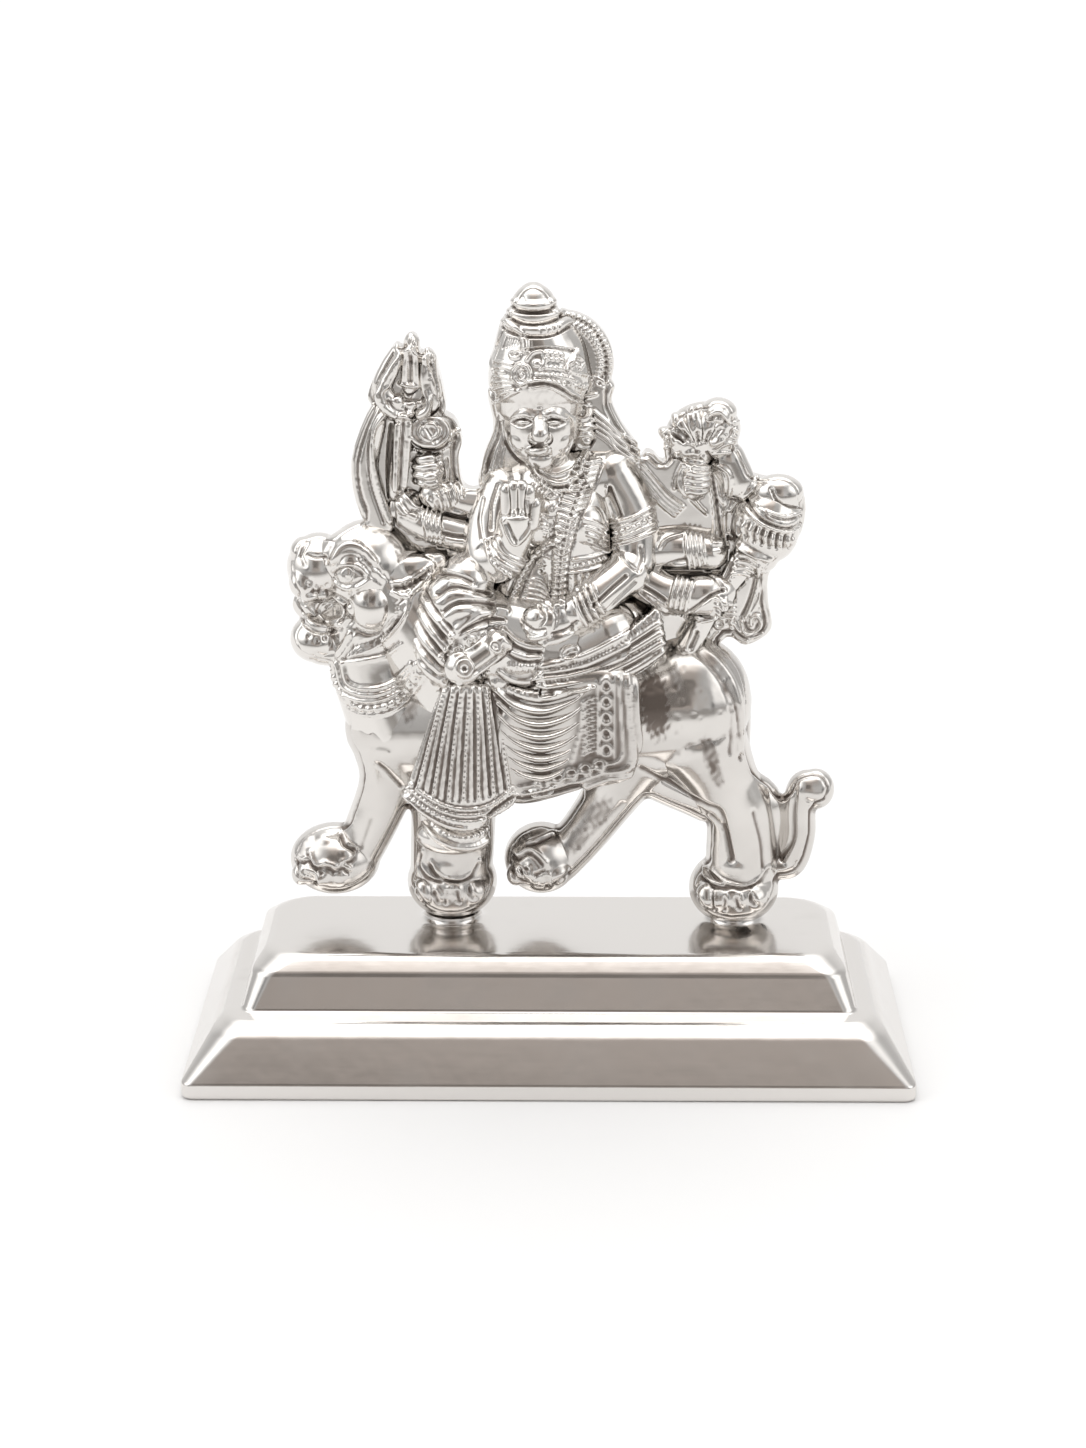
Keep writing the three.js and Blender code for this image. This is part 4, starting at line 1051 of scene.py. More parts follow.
GARLAND = (
    (588, 466, 12), (582, 482, 12), (575, 500, 12), (569, 517, 11), (565, 534, 9.5), (562, 552, 7),
    (561, 572, 6), (560.5, 592, 6), (560, 610, 5.5))
CHAIN = ((559, 536), (545, 546), (533, 557), (526, 568), (518, 588), (510, 609), (505, 624))
BODICE_BEADS = ((516, 540, 560), (524, 541, 562), (532, 542, 560), (540, 544, 556))
FINGER_GAPS = ((511.5, -1), (518.5, 0), (525.5, 1))
tally("the torso and the front arms", TORSO_CORDS, TORSO_GROOVES, TORSO_BEADS, TORSO_RINGS, TORSO_BOSSES,
      GARLAND, CHAIN, BODICE_BEADS, FINGER_GAPS)

# %% Chase the torso and the front arms
torso = chasers["torso_and_arms"]
work(torso.cord, TORSO_CORDS)
work(torso.groove, TORSO_GROOVES)
work(torso.beads, TORSO_BEADS)
work(torso.ring, TORSO_RINGS)
work(torso.boss, TORSO_BOSSES)
path = smooth_line(GARLAND, 6)
torso.swell(path[:, :2], 11, 3)
torso.groove(path[:, :2], 1.5, 2.4)
for column, row, half in path[::2]:
    lean = 3.4 if row < 556 else 0.6
    for side in (-1, 1):
        torso.cord([(column + side * 1.2, row), (column + side * half * 0.55, row - lean * 0.6),
                    (column + side * half, row - lean)], 1.7, 2.8)
torso.groove(path[:, :2] - (path[:, 2:3] + 1.5) * (1, 0), 1.4, 2)
torso.groove(path[:, :2] + (path[:, 2:3] + 1.5) * (1, 0), 1.4, 2)
torso.cord(CHAIN, 4.6, 2.4)
torso.beads(CHAIN, 3.4, 3, 6.2)
torso.groove([(column - 5.4, row - 2) for column, row in CHAIN], 1.3, 1.8)
torso.groove([(column + 5.4, row + 2) for column, row in CHAIN], 1.3, 1.8)
for step in range(5):
    torso.cord([(585 + step, 520 + step * 6), (594, 522.5 + step * 6.2), (603, 529 + step * 5.6)], 1.8, 2.4)
for row, start, end in BODICE_BEADS:
    torso.beads([(start, row), ((start + end) / 2, row + 2), (end, row)], 1.9, 2.2, 4.4)
for step in range(6):
    torso.cord([(529 - step * 0.8, 578 + step * 5), (538, 580 + step * 5), (549, 589 + step * 4.2)], 1.7, 2.4)
for row in (562, 569):
    torso.ring((543, row), (4, 3), 1.2, 2)
for column in (573, 580, 587):
    torso.cord([(column, 574), (column + 1, 584), (column - 1, 592)], 2.2, 2.4)
for step in range(4):
    shift = step * 5.2
    bangle = [(592 - shift, 588 + shift * 0.8), (598 - shift, 604 + shift * 0.9),
              (610 - shift, 621 + shift * 0.9)]
    torso.cord(bangle, 2.2, 3.4)
    torso.groove([(column + 2.6, row - 1) for column, row in bangle], 1.2, 2)
for step in range(4):
    torso.cord([(527 + step, 633 + step * 4.6), (536, 635 + step * 4.6), (546, 633 + step * 4.6)], 2.2, 3)
for column, lean in FINGER_GAPS:
    torso.groove([(column + lean, 489), (column, 502), (column, 515)], 1.5, 4.5)
for reach in (0, 5, 10, 15):
    line = [(502 - reach, 537 + reach * 0.35), (508 - reach * 0.8, 551 + reach * 0.65),
            (523 - reach * 0.5, 559 + reach)]
    torso.cord(line, 2, 3)
torso.finish()

# %% The strokes on the crown and the hair
CROWN_CORDS = (
    (((510, 320), (519, 330), (526, 341), (527, 352)), 3.4, 4),
    (((528, 361), (535, 354), (543, 353), (545, 362), (541, 369)), 1.8, 2.6),
    (((574.5, 351), (569, 360), (563.5, 370)), 1.9, 3.2), (((567, 372), (581, 375), (596, 379)), 1.4, 2),
    (((570, 368), (569, 361), (575, 358), (580, 363), (577, 369)), 1.5, 2.4),
    (((529, 382), (543, 380.5), (557, 383), (569, 391), (582, 397), (596, 393)), 1.8, 3),
    (((532, 387.5), (546, 386), (559, 391), (572, 398), (589, 404)), 1.5, 2.4),
    (((494, 376), (490, 388), (494, 402)), 1.7, 2.2), (((489, 352), (490, 362), (493, 371)), 1.5, 2),
    (((570, 314.5), (589, 322), (603, 340), (609.5, 362), (608, 384)), 1.2, 1.2))
CROWN_GROOVES = (
    (((507, 325), (501, 336), (497, 346)), 1.8, 2),
    (((525, 352), (537, 349.5), (552, 349), (572, 352)), 1.6, 2.8),
    (((530, 385), (544, 383.5), (558, 387), (571, 394.5), (586, 400)), 1.1, 2))
CROWN_RINGS = (
    ((518, 356), (5, 3.4), 1.3, 2.4), ((523.5, 374.5), (7.6, 9.4), 1.9, 3.4),
    ((523.5, 375), (4, 5), 1.3, 2.4), ((583.5, 411.5), (4.6, 8), 1.6, 2.4),
    ((586, 439), (5.6, 6), 1.6, 2.8))
CROWN_BOSSES = (
    ((518, 356), (1.8, 1.4), 2), ((523.5, 375), (2, 2.4), 3.4), ((538, 364), (4, 3.4), 2.6),
    ((574.5, 364.5), (2.4, 2.4), 2), ((504, 372), (6, 3), 2), ((583.5, 412), (2.4, 5), -3),
    ((584, 427), (4, 3.4), 3), ((586, 439), (2.4, 2.6), 3))
CROWN_FOLDS = (
    ((511, 306), (521, 311), (534, 313), (547, 311), (557, 306)),
    ((506, 315), (519, 323), (534, 325.5), (550, 323), (563, 316)),
    ((500, 326), (517, 335), (536, 338), (553, 336), (568, 328)))
CROWN_DOTS = ((354.5, 547, 4), (359.5, 547.5, 4), (367.5, 546, 5), (374, 538, 8), (379, 536, 9))
BAND_RINGS = ((569, 380), (576, 384), (583, 386))
PLUME_STRANDS = (
    ((496, 362), (515, 365)), ((496, 367), (514, 369)), ((496, 376), (515, 379)),
    ((497, 382), (515, 382)), ((498, 388), (515, 385.5)), ((500, 394), (517, 388.5)),
    ((500, 400), (522, 389)))
tally("the crown and the hair", CROWN_CORDS, CROWN_GROOVES, CROWN_RINGS, CROWN_BOSSES, CROWN_FOLDS,
      CROWN_DOTS, BAND_RINGS, PLUME_STRANDS)

# %% Chase the crown and the hair
crown = chasers["head_and_crown"]
work(crown.cord, CROWN_CORDS)
work(crown.groove, CROWN_GROOVES)
work(crown.ring, CROWN_RINGS)
work(crown.boss, CROWN_BOSSES)
for line in CROWN_FOLDS:
    crown.groove(line, 2, 4)
    crown.swell([(column, row - 6.5) for column, row in line], 6, 3)
for column in (524, 545):
    crown.groove([(column, 297), (column + 3, 302)], 1.4, 1.6)
for column in (540, 546, 551, 556):
    crown.groove([(column, 329), (column + 1, 334)], 1.1, 1.6)
for step in range(6):
    crown.groove([(507 + step * 2.4, 349 - step * 0.6), (511 + step * 2.2, 338 + step * 0.4)], 1, 1.8)
for row, start, count in CROWN_DOTS:
    for index in range(count):
        crown.boss((start + index * 4.5, row + 0.035 * (index * 4.5) ** 1.4), (1.9, 1.7), 2.6)
for spot in BAND_RINGS:
    crown.ring(spot, (2.6, 2), 1, 1.8)
for start, end in PLUME_STRANDS:
    crown.cord([start, ((start[0] + end[0]) / 2, (start[1] + end[1]) / 2 - 0.8), end], 1.6, 2.4)
for index in range(17):
    turn = math.radians(-86 + index * 7.2)
    spot = (563 + 42 * math.cos(turn), 362 + 43 * math.sin(turn))
    crown.groove([(563 + 41 * math.cos(turn), 362 + 42 * math.sin(turn)),
                  (563 + 48 * math.cos(turn), 362 + 49 * math.sin(turn))], 1.5, 2.4)
    crown.boss(spot, (1.6, 1.6), -2.2)
    inner = turn + math.radians(3.6)
    crown.boss((563 + 36.5 * math.cos(inner), 362 + 37.5 * math.sin(inner)), (1.8, 1.8), 2.2)
for shift in range(5):
    crown.groove([(503 - shift * 1.2 + shift * 2.4, 420), (499 + shift * 1.6, 438), (490 + shift * 2.8, 456),
                  (484 + shift * 3.4, 474)], 1.3, 2.8)
for shift in range(4):
    crown.cord([(594 - shift * 2, 410 + shift * 5), (606, 420 + shift * 5.4), (620 - shift, 433 + shift * 5),
                (640 - shift * 2, 446 + shift * 4.6)], 2, 2.6)
    crown.groove([(594 - shift * 2, 412.6 + shift * 5), (606, 422.6 + shift * 5.4),
                  (620 - shift, 435.6 + shift * 5), (640 - shift * 2, 448.6 + shift * 4.6)], 1.1, 2)

# %% Chase the face
# Brow, eyes, nose and mouth by the drawing-book rule, in shares of the head's own size
HAIRLINE, CHIN, MIDDLE, HALF_WIDTH, LEAN = 393, 462, 541, 36, 0.07
THIRD = (CHIN - HAIRLINE) / 3
EYE = HALF_WIDTH * 2 / 5


def face(right, down):
    return MIDDLE + right - down * LEAN, HAIRLINE + down


for side in (-1, 1):
    eye_right, eye_down = side * EYE, THIRD * 1.27
    crown.groove([face(eye_right - EYE * 0.6, eye_down), face(eye_right, eye_down - 3.2),
                  face(eye_right + EYE * 0.6, eye_down)], 1.6, 2.6)
    crown.groove([face(eye_right - EYE * 0.5, eye_down + 1.2), face(eye_right, eye_down + 3.6),
                  face(eye_right + EYE * 0.5, eye_down + 1.2)], 1.3, 1.8)
    crown.boss(face(eye_right, eye_down + 0.4), (EYE * 0.5, 2.6), 2.2)
    crown.cord([face(eye_right - EYE * 0.62, eye_down - 1.6), face(eye_right, eye_down - 5.4),
                face(eye_right + EYE * 0.62, eye_down - 1.6)], 1.3, 1.2)
    crown.cord([face(side * EYE * 0.45, THIRD - 1), face(side * EYE * 1.0, THIRD - 3.4),
                face(side * EYE * 1.7, THIRD + 1.4)], 1.5, 1.6)
    crown.boss(face(side * 3.2, THIRD * 2.05), (1.2, 0.9), -1)
    crown.groove([face(side * 6.5, THIRD * 1.86), face(side * 7, THIRD * 2)], 1.3, 0.8)
crown.cord([face(-8.5, THIRD * 2.33), face(-3, THIRD * 2.25), face(0, THIRD * 2.28), face(3, THIRD * 2.25),
            face(8.5, THIRD * 2.33)], 1.7, 2.2)
crown.cord([face(-6.5, THIRD * 2.44), face(0, THIRD * 2.5), face(6.5, THIRD * 2.44)], 2.2, 2.2)
crown.groove([face(-9, THIRD * 2.35), face(0, THIRD * 2.38), face(9, THIRD * 2.35)], 1, 3)
crown.groove([face(-5, THIRD * 2.64), face(0, THIRD * 2.67), face(5, THIRD * 2.64)], 1.8, 1.4)
crown.boss(face(0.4, THIRD * 0.62), (2, 2), 1.8)
# A darker patch over the middle of the face
crown.tone_patch(face(0, THIRD * 1.5), (HALF_WIDTH * 1.05, THIRD * 1.9), 0.36)
crown.finish()

# %% [markdown]
# ## Chasing the raised arms
# Behind her two front arms rise six more, joined by a web. On the tiger's side they hold the
# trident, the sword and the discus, and on the tail's side the lotus, the mace and the bow.

# %% The strokes on the sword side
SWORD_SIDE_CORDS = (
    (((410.5, 340), (408.5, 356), (407, 382)), 1.6, 3),
    (((414.5, 343), (414, 362), (414.5, 382)), 1.6, 3),
    (((428, 352), (426.5, 366), (427, 383), (430, 398), (426, 410), (417, 416)), 2, 3.4),
    (((400, 382), (408, 384), (417, 385)), 1.8, 3),
    (((380, 405), (392, 414), (404, 417), (418, 420), (430, 415), (438, 406)), 1.8, 2.8),
    (((384, 409), (374, 431), (371.5, 458), (375, 486), (388, 522)), 1.7, 3.4),
    (((400, 424), (398, 452), (396, 490)), 1.7, 3), (((407, 422), (405, 450), (402.5, 488)), 1.7, 3),
    (((408, 437), (418, 445), (432, 446), (446, 440), (458, 430)), 2.6, 4))
SWORD_SIDE_GROOVES = (
    (((411, 352), (410.7, 366), (410.7, 382)), 1.6, 4.5),
    (((431, 364), (431, 383), (434.5, 398), (430, 412)), 1.4, 2.4),
    (((423, 364), (423.5, 384), (426, 397), (421, 408)), 1.4, 2.8),
    (((388, 400), (394, 408), (404, 411)), 1.4, 3), (((408, 409), (416, 410.6), (424, 406)), 1.4, 3),
    (((381, 408), (371, 431), (368.5, 458), (372, 487), (384, 522)), 1.5, 3),
    (((403.5, 422), (401.5, 450), (399.3, 490)), 1.6, 4), (((392, 424), (389, 456), (390, 496)), 2.6, 3),
    (((425, 426), (429, 432), (434, 439)), 1.7, 2.6), (((436, 426), (438, 434), (434, 440)), 1.3, 1.8),
    (((433, 456), (436, 464), (439, 468)), 1.6, 4), (((441, 466), (444, 472), (444, 478)), 1.5, 4),
    (((447, 458), (449, 470), (448, 484)), 1.4, 3), (((443, 533), (456, 536), (470, 537)), 2.6, 5),
    (((454, 507), (464, 511), (474, 516)), 2, 4.4), (((400, 488), (396, 504), (398, 520)), 2, 3))
SWORD_SIDE_SWELLS = (
    (((411, 337), (411, 352)), 7, 3),)
SWORD_SIDE_BOSSES = (
    ((429, 357), (6, 7), 3), ((408.5, 392), (6, 5.4), 3, 0, 0.8), ((397, 402), (7, 4.4), 4, 25),
    ((415.5, 404.5), (7, 4.4), 4, -10), ((431, 476), (5.4, 5.4), 3.2))
SWORD_SIDE_RINGS = (
    ((430, 432), (14, 9.4), 2.2, 4), ((430, 432), (7.4, 5.6), 1.5, 2.6))
SWORD_SIDE_BEADS = (
    (((412, 447), (424, 451), (436, 451), (448, 445), (456, 439)), 1.9, 2.4, 4.4),
    (((434, 499), (444, 495), (453, 491)), 1.5, 2, 4))
HILT_DOTS = (((408.8, 394), 1.7), ((405.4, 399.2), 1.5), ((406.2, 409.2), 1.7))
LOWER_FINGERS = (
    ((408, 490), (416, 497), (424, 503)), ((405, 499), (412, 507), (420, 511)),
    ((400, 505), (406, 513), (416, 518)))
tally("the sword side", SWORD_SIDE_CORDS, SWORD_SIDE_GROOVES, SWORD_SIDE_SWELLS, SWORD_SIDE_BOSSES,
      SWORD_SIDE_RINGS, SWORD_SIDE_BEADS, HILT_DOTS, LOWER_FINGERS)

# %% Chase the sword side
sword = chasers["sword_side"]
work(sword.cord, SWORD_SIDE_CORDS)
work(sword.groove, SWORD_SIDE_GROOVES)
work(sword.swell, SWORD_SIDE_SWELLS)
work(sword.boss, SWORD_SIDE_BOSSES)
work(sword.ring, SWORD_SIDE_RINGS)
work(sword.beads, SWORD_SIDE_BEADS)
for shift in range(3):
    sword.cord([(397 - shift * 0.4, 345 + shift * 4), (397.5 - shift * 1.4, 357), (392.5 - shift * 3, 371),
                (386 - shift * 3.4, 384), (382 - shift * 1.8, 393), (387 - shift * 2, 403),
                (397 - shift * 1.4, 410 + shift), (407, 413 + shift * 1.6)], 1.5, 2.8)
for spot, size in HILT_DOTS:
    sword.boss(spot, (size, size * 1.2), -5)
for row in (460, 466.5, 473, 479.5):
    sword.cord([(416, row), (426, row + 1.4), (437, row - 0.6)], 2.8, 3.6)
for share in np.linspace(0, 1, 5):
    column, row = between(433, 458, share), between(503, 489, share)
    sword.cord([(column - 3, row - 5), (column + 2, row + 1), (column + 4, row + 8)], 2, 3)
for index in range(4):
    shift = index * 4.6
    drop = shift * 0.2
    sword.cord([(426 + shift, 513 + drop), (425 + shift, 522 + drop), (429 + shift, 533 + drop)], 2, 3.4)
    sword.boss((428 + shift, 536 + shift * 0.25), (1.8, 1.8), 2.6)
for line in LOWER_FINGERS:
    sword.cord(line, 2.6, 3.4)
sword.finish()

# %% The strokes on the lotus side
LOTUS_SIDE_CORDS = (
    (((709, 418), (714, 413), (721, 412.5), (727.5, 419.5), (732, 423), (738, 421)), 1.6, 2.4),
    (((699, 450), (684, 450), (672, 456)), 2, 3),
    (((698, 453), (685, 460), (677, 474), (674, 487)), 2, 3),
    (((700, 457), (690, 463), (683, 479), (688, 493), (694, 501), (704, 510)), 1.7, 3),
    (((695, 468), (687.5, 480), (692, 494), (706, 513)), 1.2, 2),
    (((703, 453), (711, 461), (721, 464), (729.5, 472), (732, 487), (728, 502), (724, 512)), 1.8, 3.2),
    (((705, 460), (715, 468), (724, 472), (728, 486), (724, 502)), 1.2, 2),
    (((707, 470), (712, 496), (714, 522), (712, 545)), 1.7, 2.6),
    (((724, 512), (724.5, 528), (726, 546)), 1.8, 2.6), (((729, 509), (742, 494), (757, 478)), 2, 3),
    (((757, 505), (768, 513.5), (785, 517), (799, 511)), 1.7, 2.6),
    (((746, 507), (757, 519), (769, 527), (785, 531), (799, 527)), 1.9, 2.8),
    (((661, 548), (668, 541), (683, 537)), 1.4, 2), (((641, 590), (654, 600), (668, 608)), 1.5, 2.4),
    (((687, 612), (697, 618), (712, 611), (724, 598)), 1.8, 3),
    (((685, 616), (697, 622), (714, 615)), 1.3, 2.2),
    (((758, 564), (757.5, 580), (753, 597), (745, 616)), 1.7, 3),
    (((762, 566), (762, 582), (757.5, 599), (750, 612)), 1.4, 2.4),
    (((741, 620), (744, 631), (755, 632.5), (761, 623), (757, 614.5), (751, 616), (750.5, 623)),
      1.9, 3.4),
    (((730, 626), (737, 636), (747, 641)), 1.6, 2.4),
    (((734, 622), (740, 632), (750, 637), (762, 633)), 1.6, 2.4),
    (((700, 622), (693, 636), (687, 648)), 1.6, 2.6), (((718, 631), (710, 641), (702, 650)), 1.6, 2.4))
LOTUS_SIDE_GROOVES = (
    (((709, 420), (715, 415.5), (721, 415.5), (727, 422), (732, 425.5)), 1.5, 3.6),
    (((695, 456), (684, 465), (678.5, 478), (678, 486)), 2.4, 5),
    (((707, 450), (713, 458), (719, 461)), 1.8, 4),
    (((710, 467), (715, 492), (719, 522), (721.5, 540)), 1.6, 4.4),
    (((716, 498), (722, 506), (722, 514)), 1.4, 2), (((737, 452), (742, 462), (750, 476)), 1.6, 2),
    (((733, 511), (745, 498), (758, 484)), 1.6, 3),
    (((772, 490), (776.5, 499), (785, 506), (798, 508)), 1.7, 3.4),
    (((761, 508), (772, 516.5), (786, 519), (799, 514)), 1.5, 3),
    (((748, 500), (758, 515.5), (770, 524), (786, 527.5), (800, 522)), 1.8, 4),
    (((739, 552), (732, 569), (726, 582)), 1.7, 3.6), (((664, 565), (674, 561), (686, 558)), 3, 6),
    (((644, 586), (656, 593), (666, 600)), 2.6, 5),
    (((690, 609), (701, 602), (713, 593.5), (723, 590)), 2, 5),
    (((704, 576), (716, 582), (722, 590)), 1.5, 2),
    (((754, 566), (753.5, 580), (748, 600), (741, 614)), 1.6, 2.6),
    (((745, 621), (747.5, 628), (754, 629), (757.5, 622)), 1.4, 3),
    (((697.5, 631), (693.5, 640), (690, 647)), 2, 5))
LOTUS_SIDE_BOSSES = (
    ((721.5, 481), (4.6, 14), -2.4, 0, 0.8), ((731, 620), (3, 5), 3.4))
LOTUS_SIDE_BEADS = (
    (((742, 553), (735, 569), (728, 583)), 2.6, 3, 5),)
LOTUS_SIDE_RINGS = (
    ((719.5, 622), (5, 4.6), 1.6, 2.6),)
PETAL_TIPS = (
    (676, 437), (681, 431), (686, 434), (691, 432), (698, 435), (703, 431), (708, 434), (713, 433),
    (718, 432))
OUTER_PETAL_TIPS = ((673, 425), (682, 418), (692, 413), (703, 411))
BUD_LEAVES = (
    ((723, 434), (730, 430), (737, 430)), ((713, 441), (724, 436), (736, 436)),
    ((713, 447), (725, 441), (736, 440)), ((711, 450), (722, 449), (735, 449)))
SIDE_LEAVES = (
    ((664, 434), (669, 430), (673, 433)), ((664, 440), (670, 437), (675, 441)),
    ((665, 448), (672, 446), (678, 447)))
tally("the lotus side", LOTUS_SIDE_CORDS, LOTUS_SIDE_GROOVES, LOTUS_SIDE_BOSSES, LOTUS_SIDE_BEADS,
      LOTUS_SIDE_RINGS, PETAL_TIPS, OUTER_PETAL_TIPS, BUD_LEAVES, SIDE_LEAVES)

# %% Chase the lotus side
STEM = (701, 452)
lotus = chasers["lotus_side"]
work(lotus.cord, LOTUS_SIDE_CORDS)
work(lotus.groove, LOTUS_SIDE_GROOVES)
work(lotus.boss, LOTUS_SIDE_BOSSES)
work(lotus.beads, LOTUS_SIDE_BEADS)
work(lotus.ring, LOTUS_SIDE_RINGS)
for column, row in PETAL_TIPS:
    right, down = (STEM[0] - column) * 0.3, (STEM[1] - row) * 0.32
    lotus.groove([(column - right * 0.6, row - down * 0.6), (column + right, row + down)], 1.6, 4.6)
for column, row in OUTER_PETAL_TIPS:
    vein = [(between(column, STEM[0], share), between(row, STEM[1], share)) for share in (0, 0.3, 0.75)]
    lotus.groove(vein, 1.4, 2.2)
for line in BUD_LEAVES:
    lotus.cord(line, 1.7, 2.6)
for line in SIDE_LEAVES:
    lotus.cord(line, 1.6, 2.2)
for index in range(6):
    row = 463 + index * 4.9
    lotus.cord([(688 + index * 0.4, row), (697, row + 1.6), (705, row + 0.6)], 2.2, 3.4)
for index in range(5):
    lotus.boss((714 + index * 1.2, 546 + (index % 2) * 5), (2.6, 2.6), 3)
for shift in range(4):
    lotus.cord([(622 - shift * 1.6, 450 + shift * 3.6), (640 - shift * 2, 462 + shift * 3.8),
                (654 - shift * 2, 478 + shift * 3.4), (668 - shift * 2.4, 494 + shift * 3),
                (683 - shift * 3, 505 + shift * 3)], 1.6, 2.6)
for index in range(8):
    share = index / 7
    column, row = between(743, 790, share), between(524, 539, share) + 3 * math.sin(share * math.pi)
    lotus.groove([(column + 1, row - 5), (column - 1.5, row + 2), (column - 1, row + 9)], 1.7, 4.5)
    lotus.boss((column + 3, row + 3), (3, 5), 2.4)
for shift in range(3):
    lotus.cord([(728 + shift * 5.6, 532 + shift * 2.6), (743 + shift * 4, 541 + shift * 2),
                (757 + shift * 3.4, 550 + shift), (766 + shift * 4, 558 - shift)], 1.9, 2.8)
    lotus.groove([(728 + shift * 5.6, 534.8 + shift * 2.6), (743 + shift * 4, 543.8 + shift * 2),
                  (757 + shift * 3.4, 552.8 + shift)], 1.2, 2.6)
for index in range(5):
    row = 553 + index * 5
    lotus.cord([(739 - index * 1.6, row), (748 - index * 1.6, row - 2), (757 - index * 2, row + 1)], 1.7, 2.6)
for index in range(4):
    shift = index * 5
    lotus.cord([(685.5 + shift, 536 + index), (687 + shift, 549), (690.5 + shift, 563 - index)], 2, 3.4)
for index in range(4):
    shift, drop = index * 5, index * 1.5
    lotus.cord([(678 + shift, 580 + drop), (674 + shift, 591 + drop), (671 + shift, 603 + index)], 2.1, 3.4)
    lotus.boss((669.5 + index * 5.4, 611 + index * 0.4), (1.7, 2.8), 2.6)
for index in range(4):
    lotus.cord([(713 + index, 597 + index * 5.4), (722, 600 + index * 5.2), (733, 602 + index * 4.6)], 1.9, 3)
lotus.finish()

# %% [markdown]
# ## The plinth
# The plinth is folded and soldered from sheet: a rim, a long slope, a ledge, a short slope and a
# flat top, with mitred corners. Its skin is a sphere whose rings are laid along the line of the
# folds, and each fold is rounded by its own amount. Two flared collars are raised from discs,
# one extrusion after another.

# %% The plinth and its collars
PLINTH = np.array((0.080, 0.0363))
PLINTH_HEIGHT = 0.0134
# A fold: inset across, inset deep, height, reach of its round, radius of its corners
FOLDS = np.array((
    (0.0, 0.0, 0.0, 0.0005, 0.0013),
    (0.0, 0.0, 0.0018, 0.00025, 0.0013),
    (0.0031, 0.0031, 0.0063, 0.0005, 0.0032),
    (0.0044, 0.0044, 0.00735, 0.0006, 0.0036),
    (0.0061, 0.0066, 0.0076, 0.0004, 0.0016),
    (0.0072, 0.0077, 0.01165, 0.0004, 0.0026),
    (0.0088, 0.0092, PLINTH_HEIGHT, 0.0008, 0.0044)))
# The two ends of the line: inset across, inset deep, height, radius of its corners
FOOT_END = (0.005, 0.005, 0.0, 0.0013)
TOP_END = (0.0176, 0.0176, PLINTH_HEIGHT, 0.0005)
FOLD_STEPS, CORNER_STEPS, LONG_STEPS, SHORT_STEPS = 12, 20, 24, 12
COLLAR_SPOTS = ((452, 880), (733, 886))
COLLAR_NECK = 0.0031
COLLAR_FLARE = 0.0046
COLLAR_ROOT = 0.0004
COLLAR_SIDES, COLLAR_RISES = 72, 8


def raise_to(height, shares):
    bpy.ops.mesh.extrude_region_move(TRANSFORM_OT_translate={"value": (0, 0, height)})
    bpy.ops.transform.resize(value=(*shares, 1))


def fold_line():
    line = [FOOT_END]
    stops = np.vstack([[FOOT_END], np.delete(FOLDS, 3, 1), [TOP_END]])
    share = np.linspace(0, 1, FOLD_STEPS)[:, None]
    for before, fold, after, reach in zip(stops, stops[1:], stops[2:], FOLDS[:, 3]):
        start = fold + (before - fold) * reach / math.hypot(*(before - fold)[1:3])
        end = fold + (after - fold) * reach / math.hypot(*(after - fold)[1:3])
        line.extend((1 - share) ** 2 * start + 2 * share * (1 - share) * fold + share**2 * end)
    return np.vstack(line + [TOP_END])[::-1]


def rounded_corners(inset, radius):
    half = PLINTH / 2 - inset
    quarter_turn = np.linspace(0, math.pi / 2, CORNER_STEPS)
    arcs, ring = [], []
    for quarter, sign in enumerate(((1, 1), (-1, 1), (-1, -1), (1, -1))):
        turns = quarter_turn + quarter * math.pi / 2
        arcs.append((half - radius) * sign + radius * np.stack([np.cos(turns), np.sin(turns)], axis=1))
    for quarter, steps in enumerate((LONG_STEPS, SHORT_STEPS, LONG_STEPS, SHORT_STEPS)):
        run = np.linspace(arcs[quarter][-1], arcs[(quarter + 1) % 4][0], steps)
        ring.extend([arcs[quarter], run[1:-1]])
    return np.vstack(ring)


rings = []
for *inset, level, radius in fold_line():
    outline = rounded_corners(inset, radius)
    rings.append(np.column_stack([outline, np.full(len(outline), level)]))
rings = np.stack(rings)
bpy.ops.mesh.primitive_uv_sphere_add(segments=rings.shape[1], ring_count=len(rings) + 1, radius=1)
stepped_plinth = bpy.context.object
stepped_plinth.name = "polished_plinth"
sphere = shape_of(stepped_plinth.data)
polar = np.arccos(np.clip(sphere[:, 2], -1, 1)) / math.pi
turn = np.arctan2(sphere[:, 1], sphere[:, 0]) / (2 * math.pi)
level_index = np.rint(polar * (len(rings) + 1)).astype(int)
step_index = np.rint(turn * rings.shape[1]).astype(int) % rings.shape[1]
folded = rings[np.clip(level_index - 1, 0, len(rings) - 1), step_index]
folded[level_index == 0] = (0, 0, PLINTH_HEIGHT)
folded[level_index == len(rings) + 1] = (0, 0, 0)
reshape(stepped_plinth.data, folded)
stepped_plinth.select_set(False)

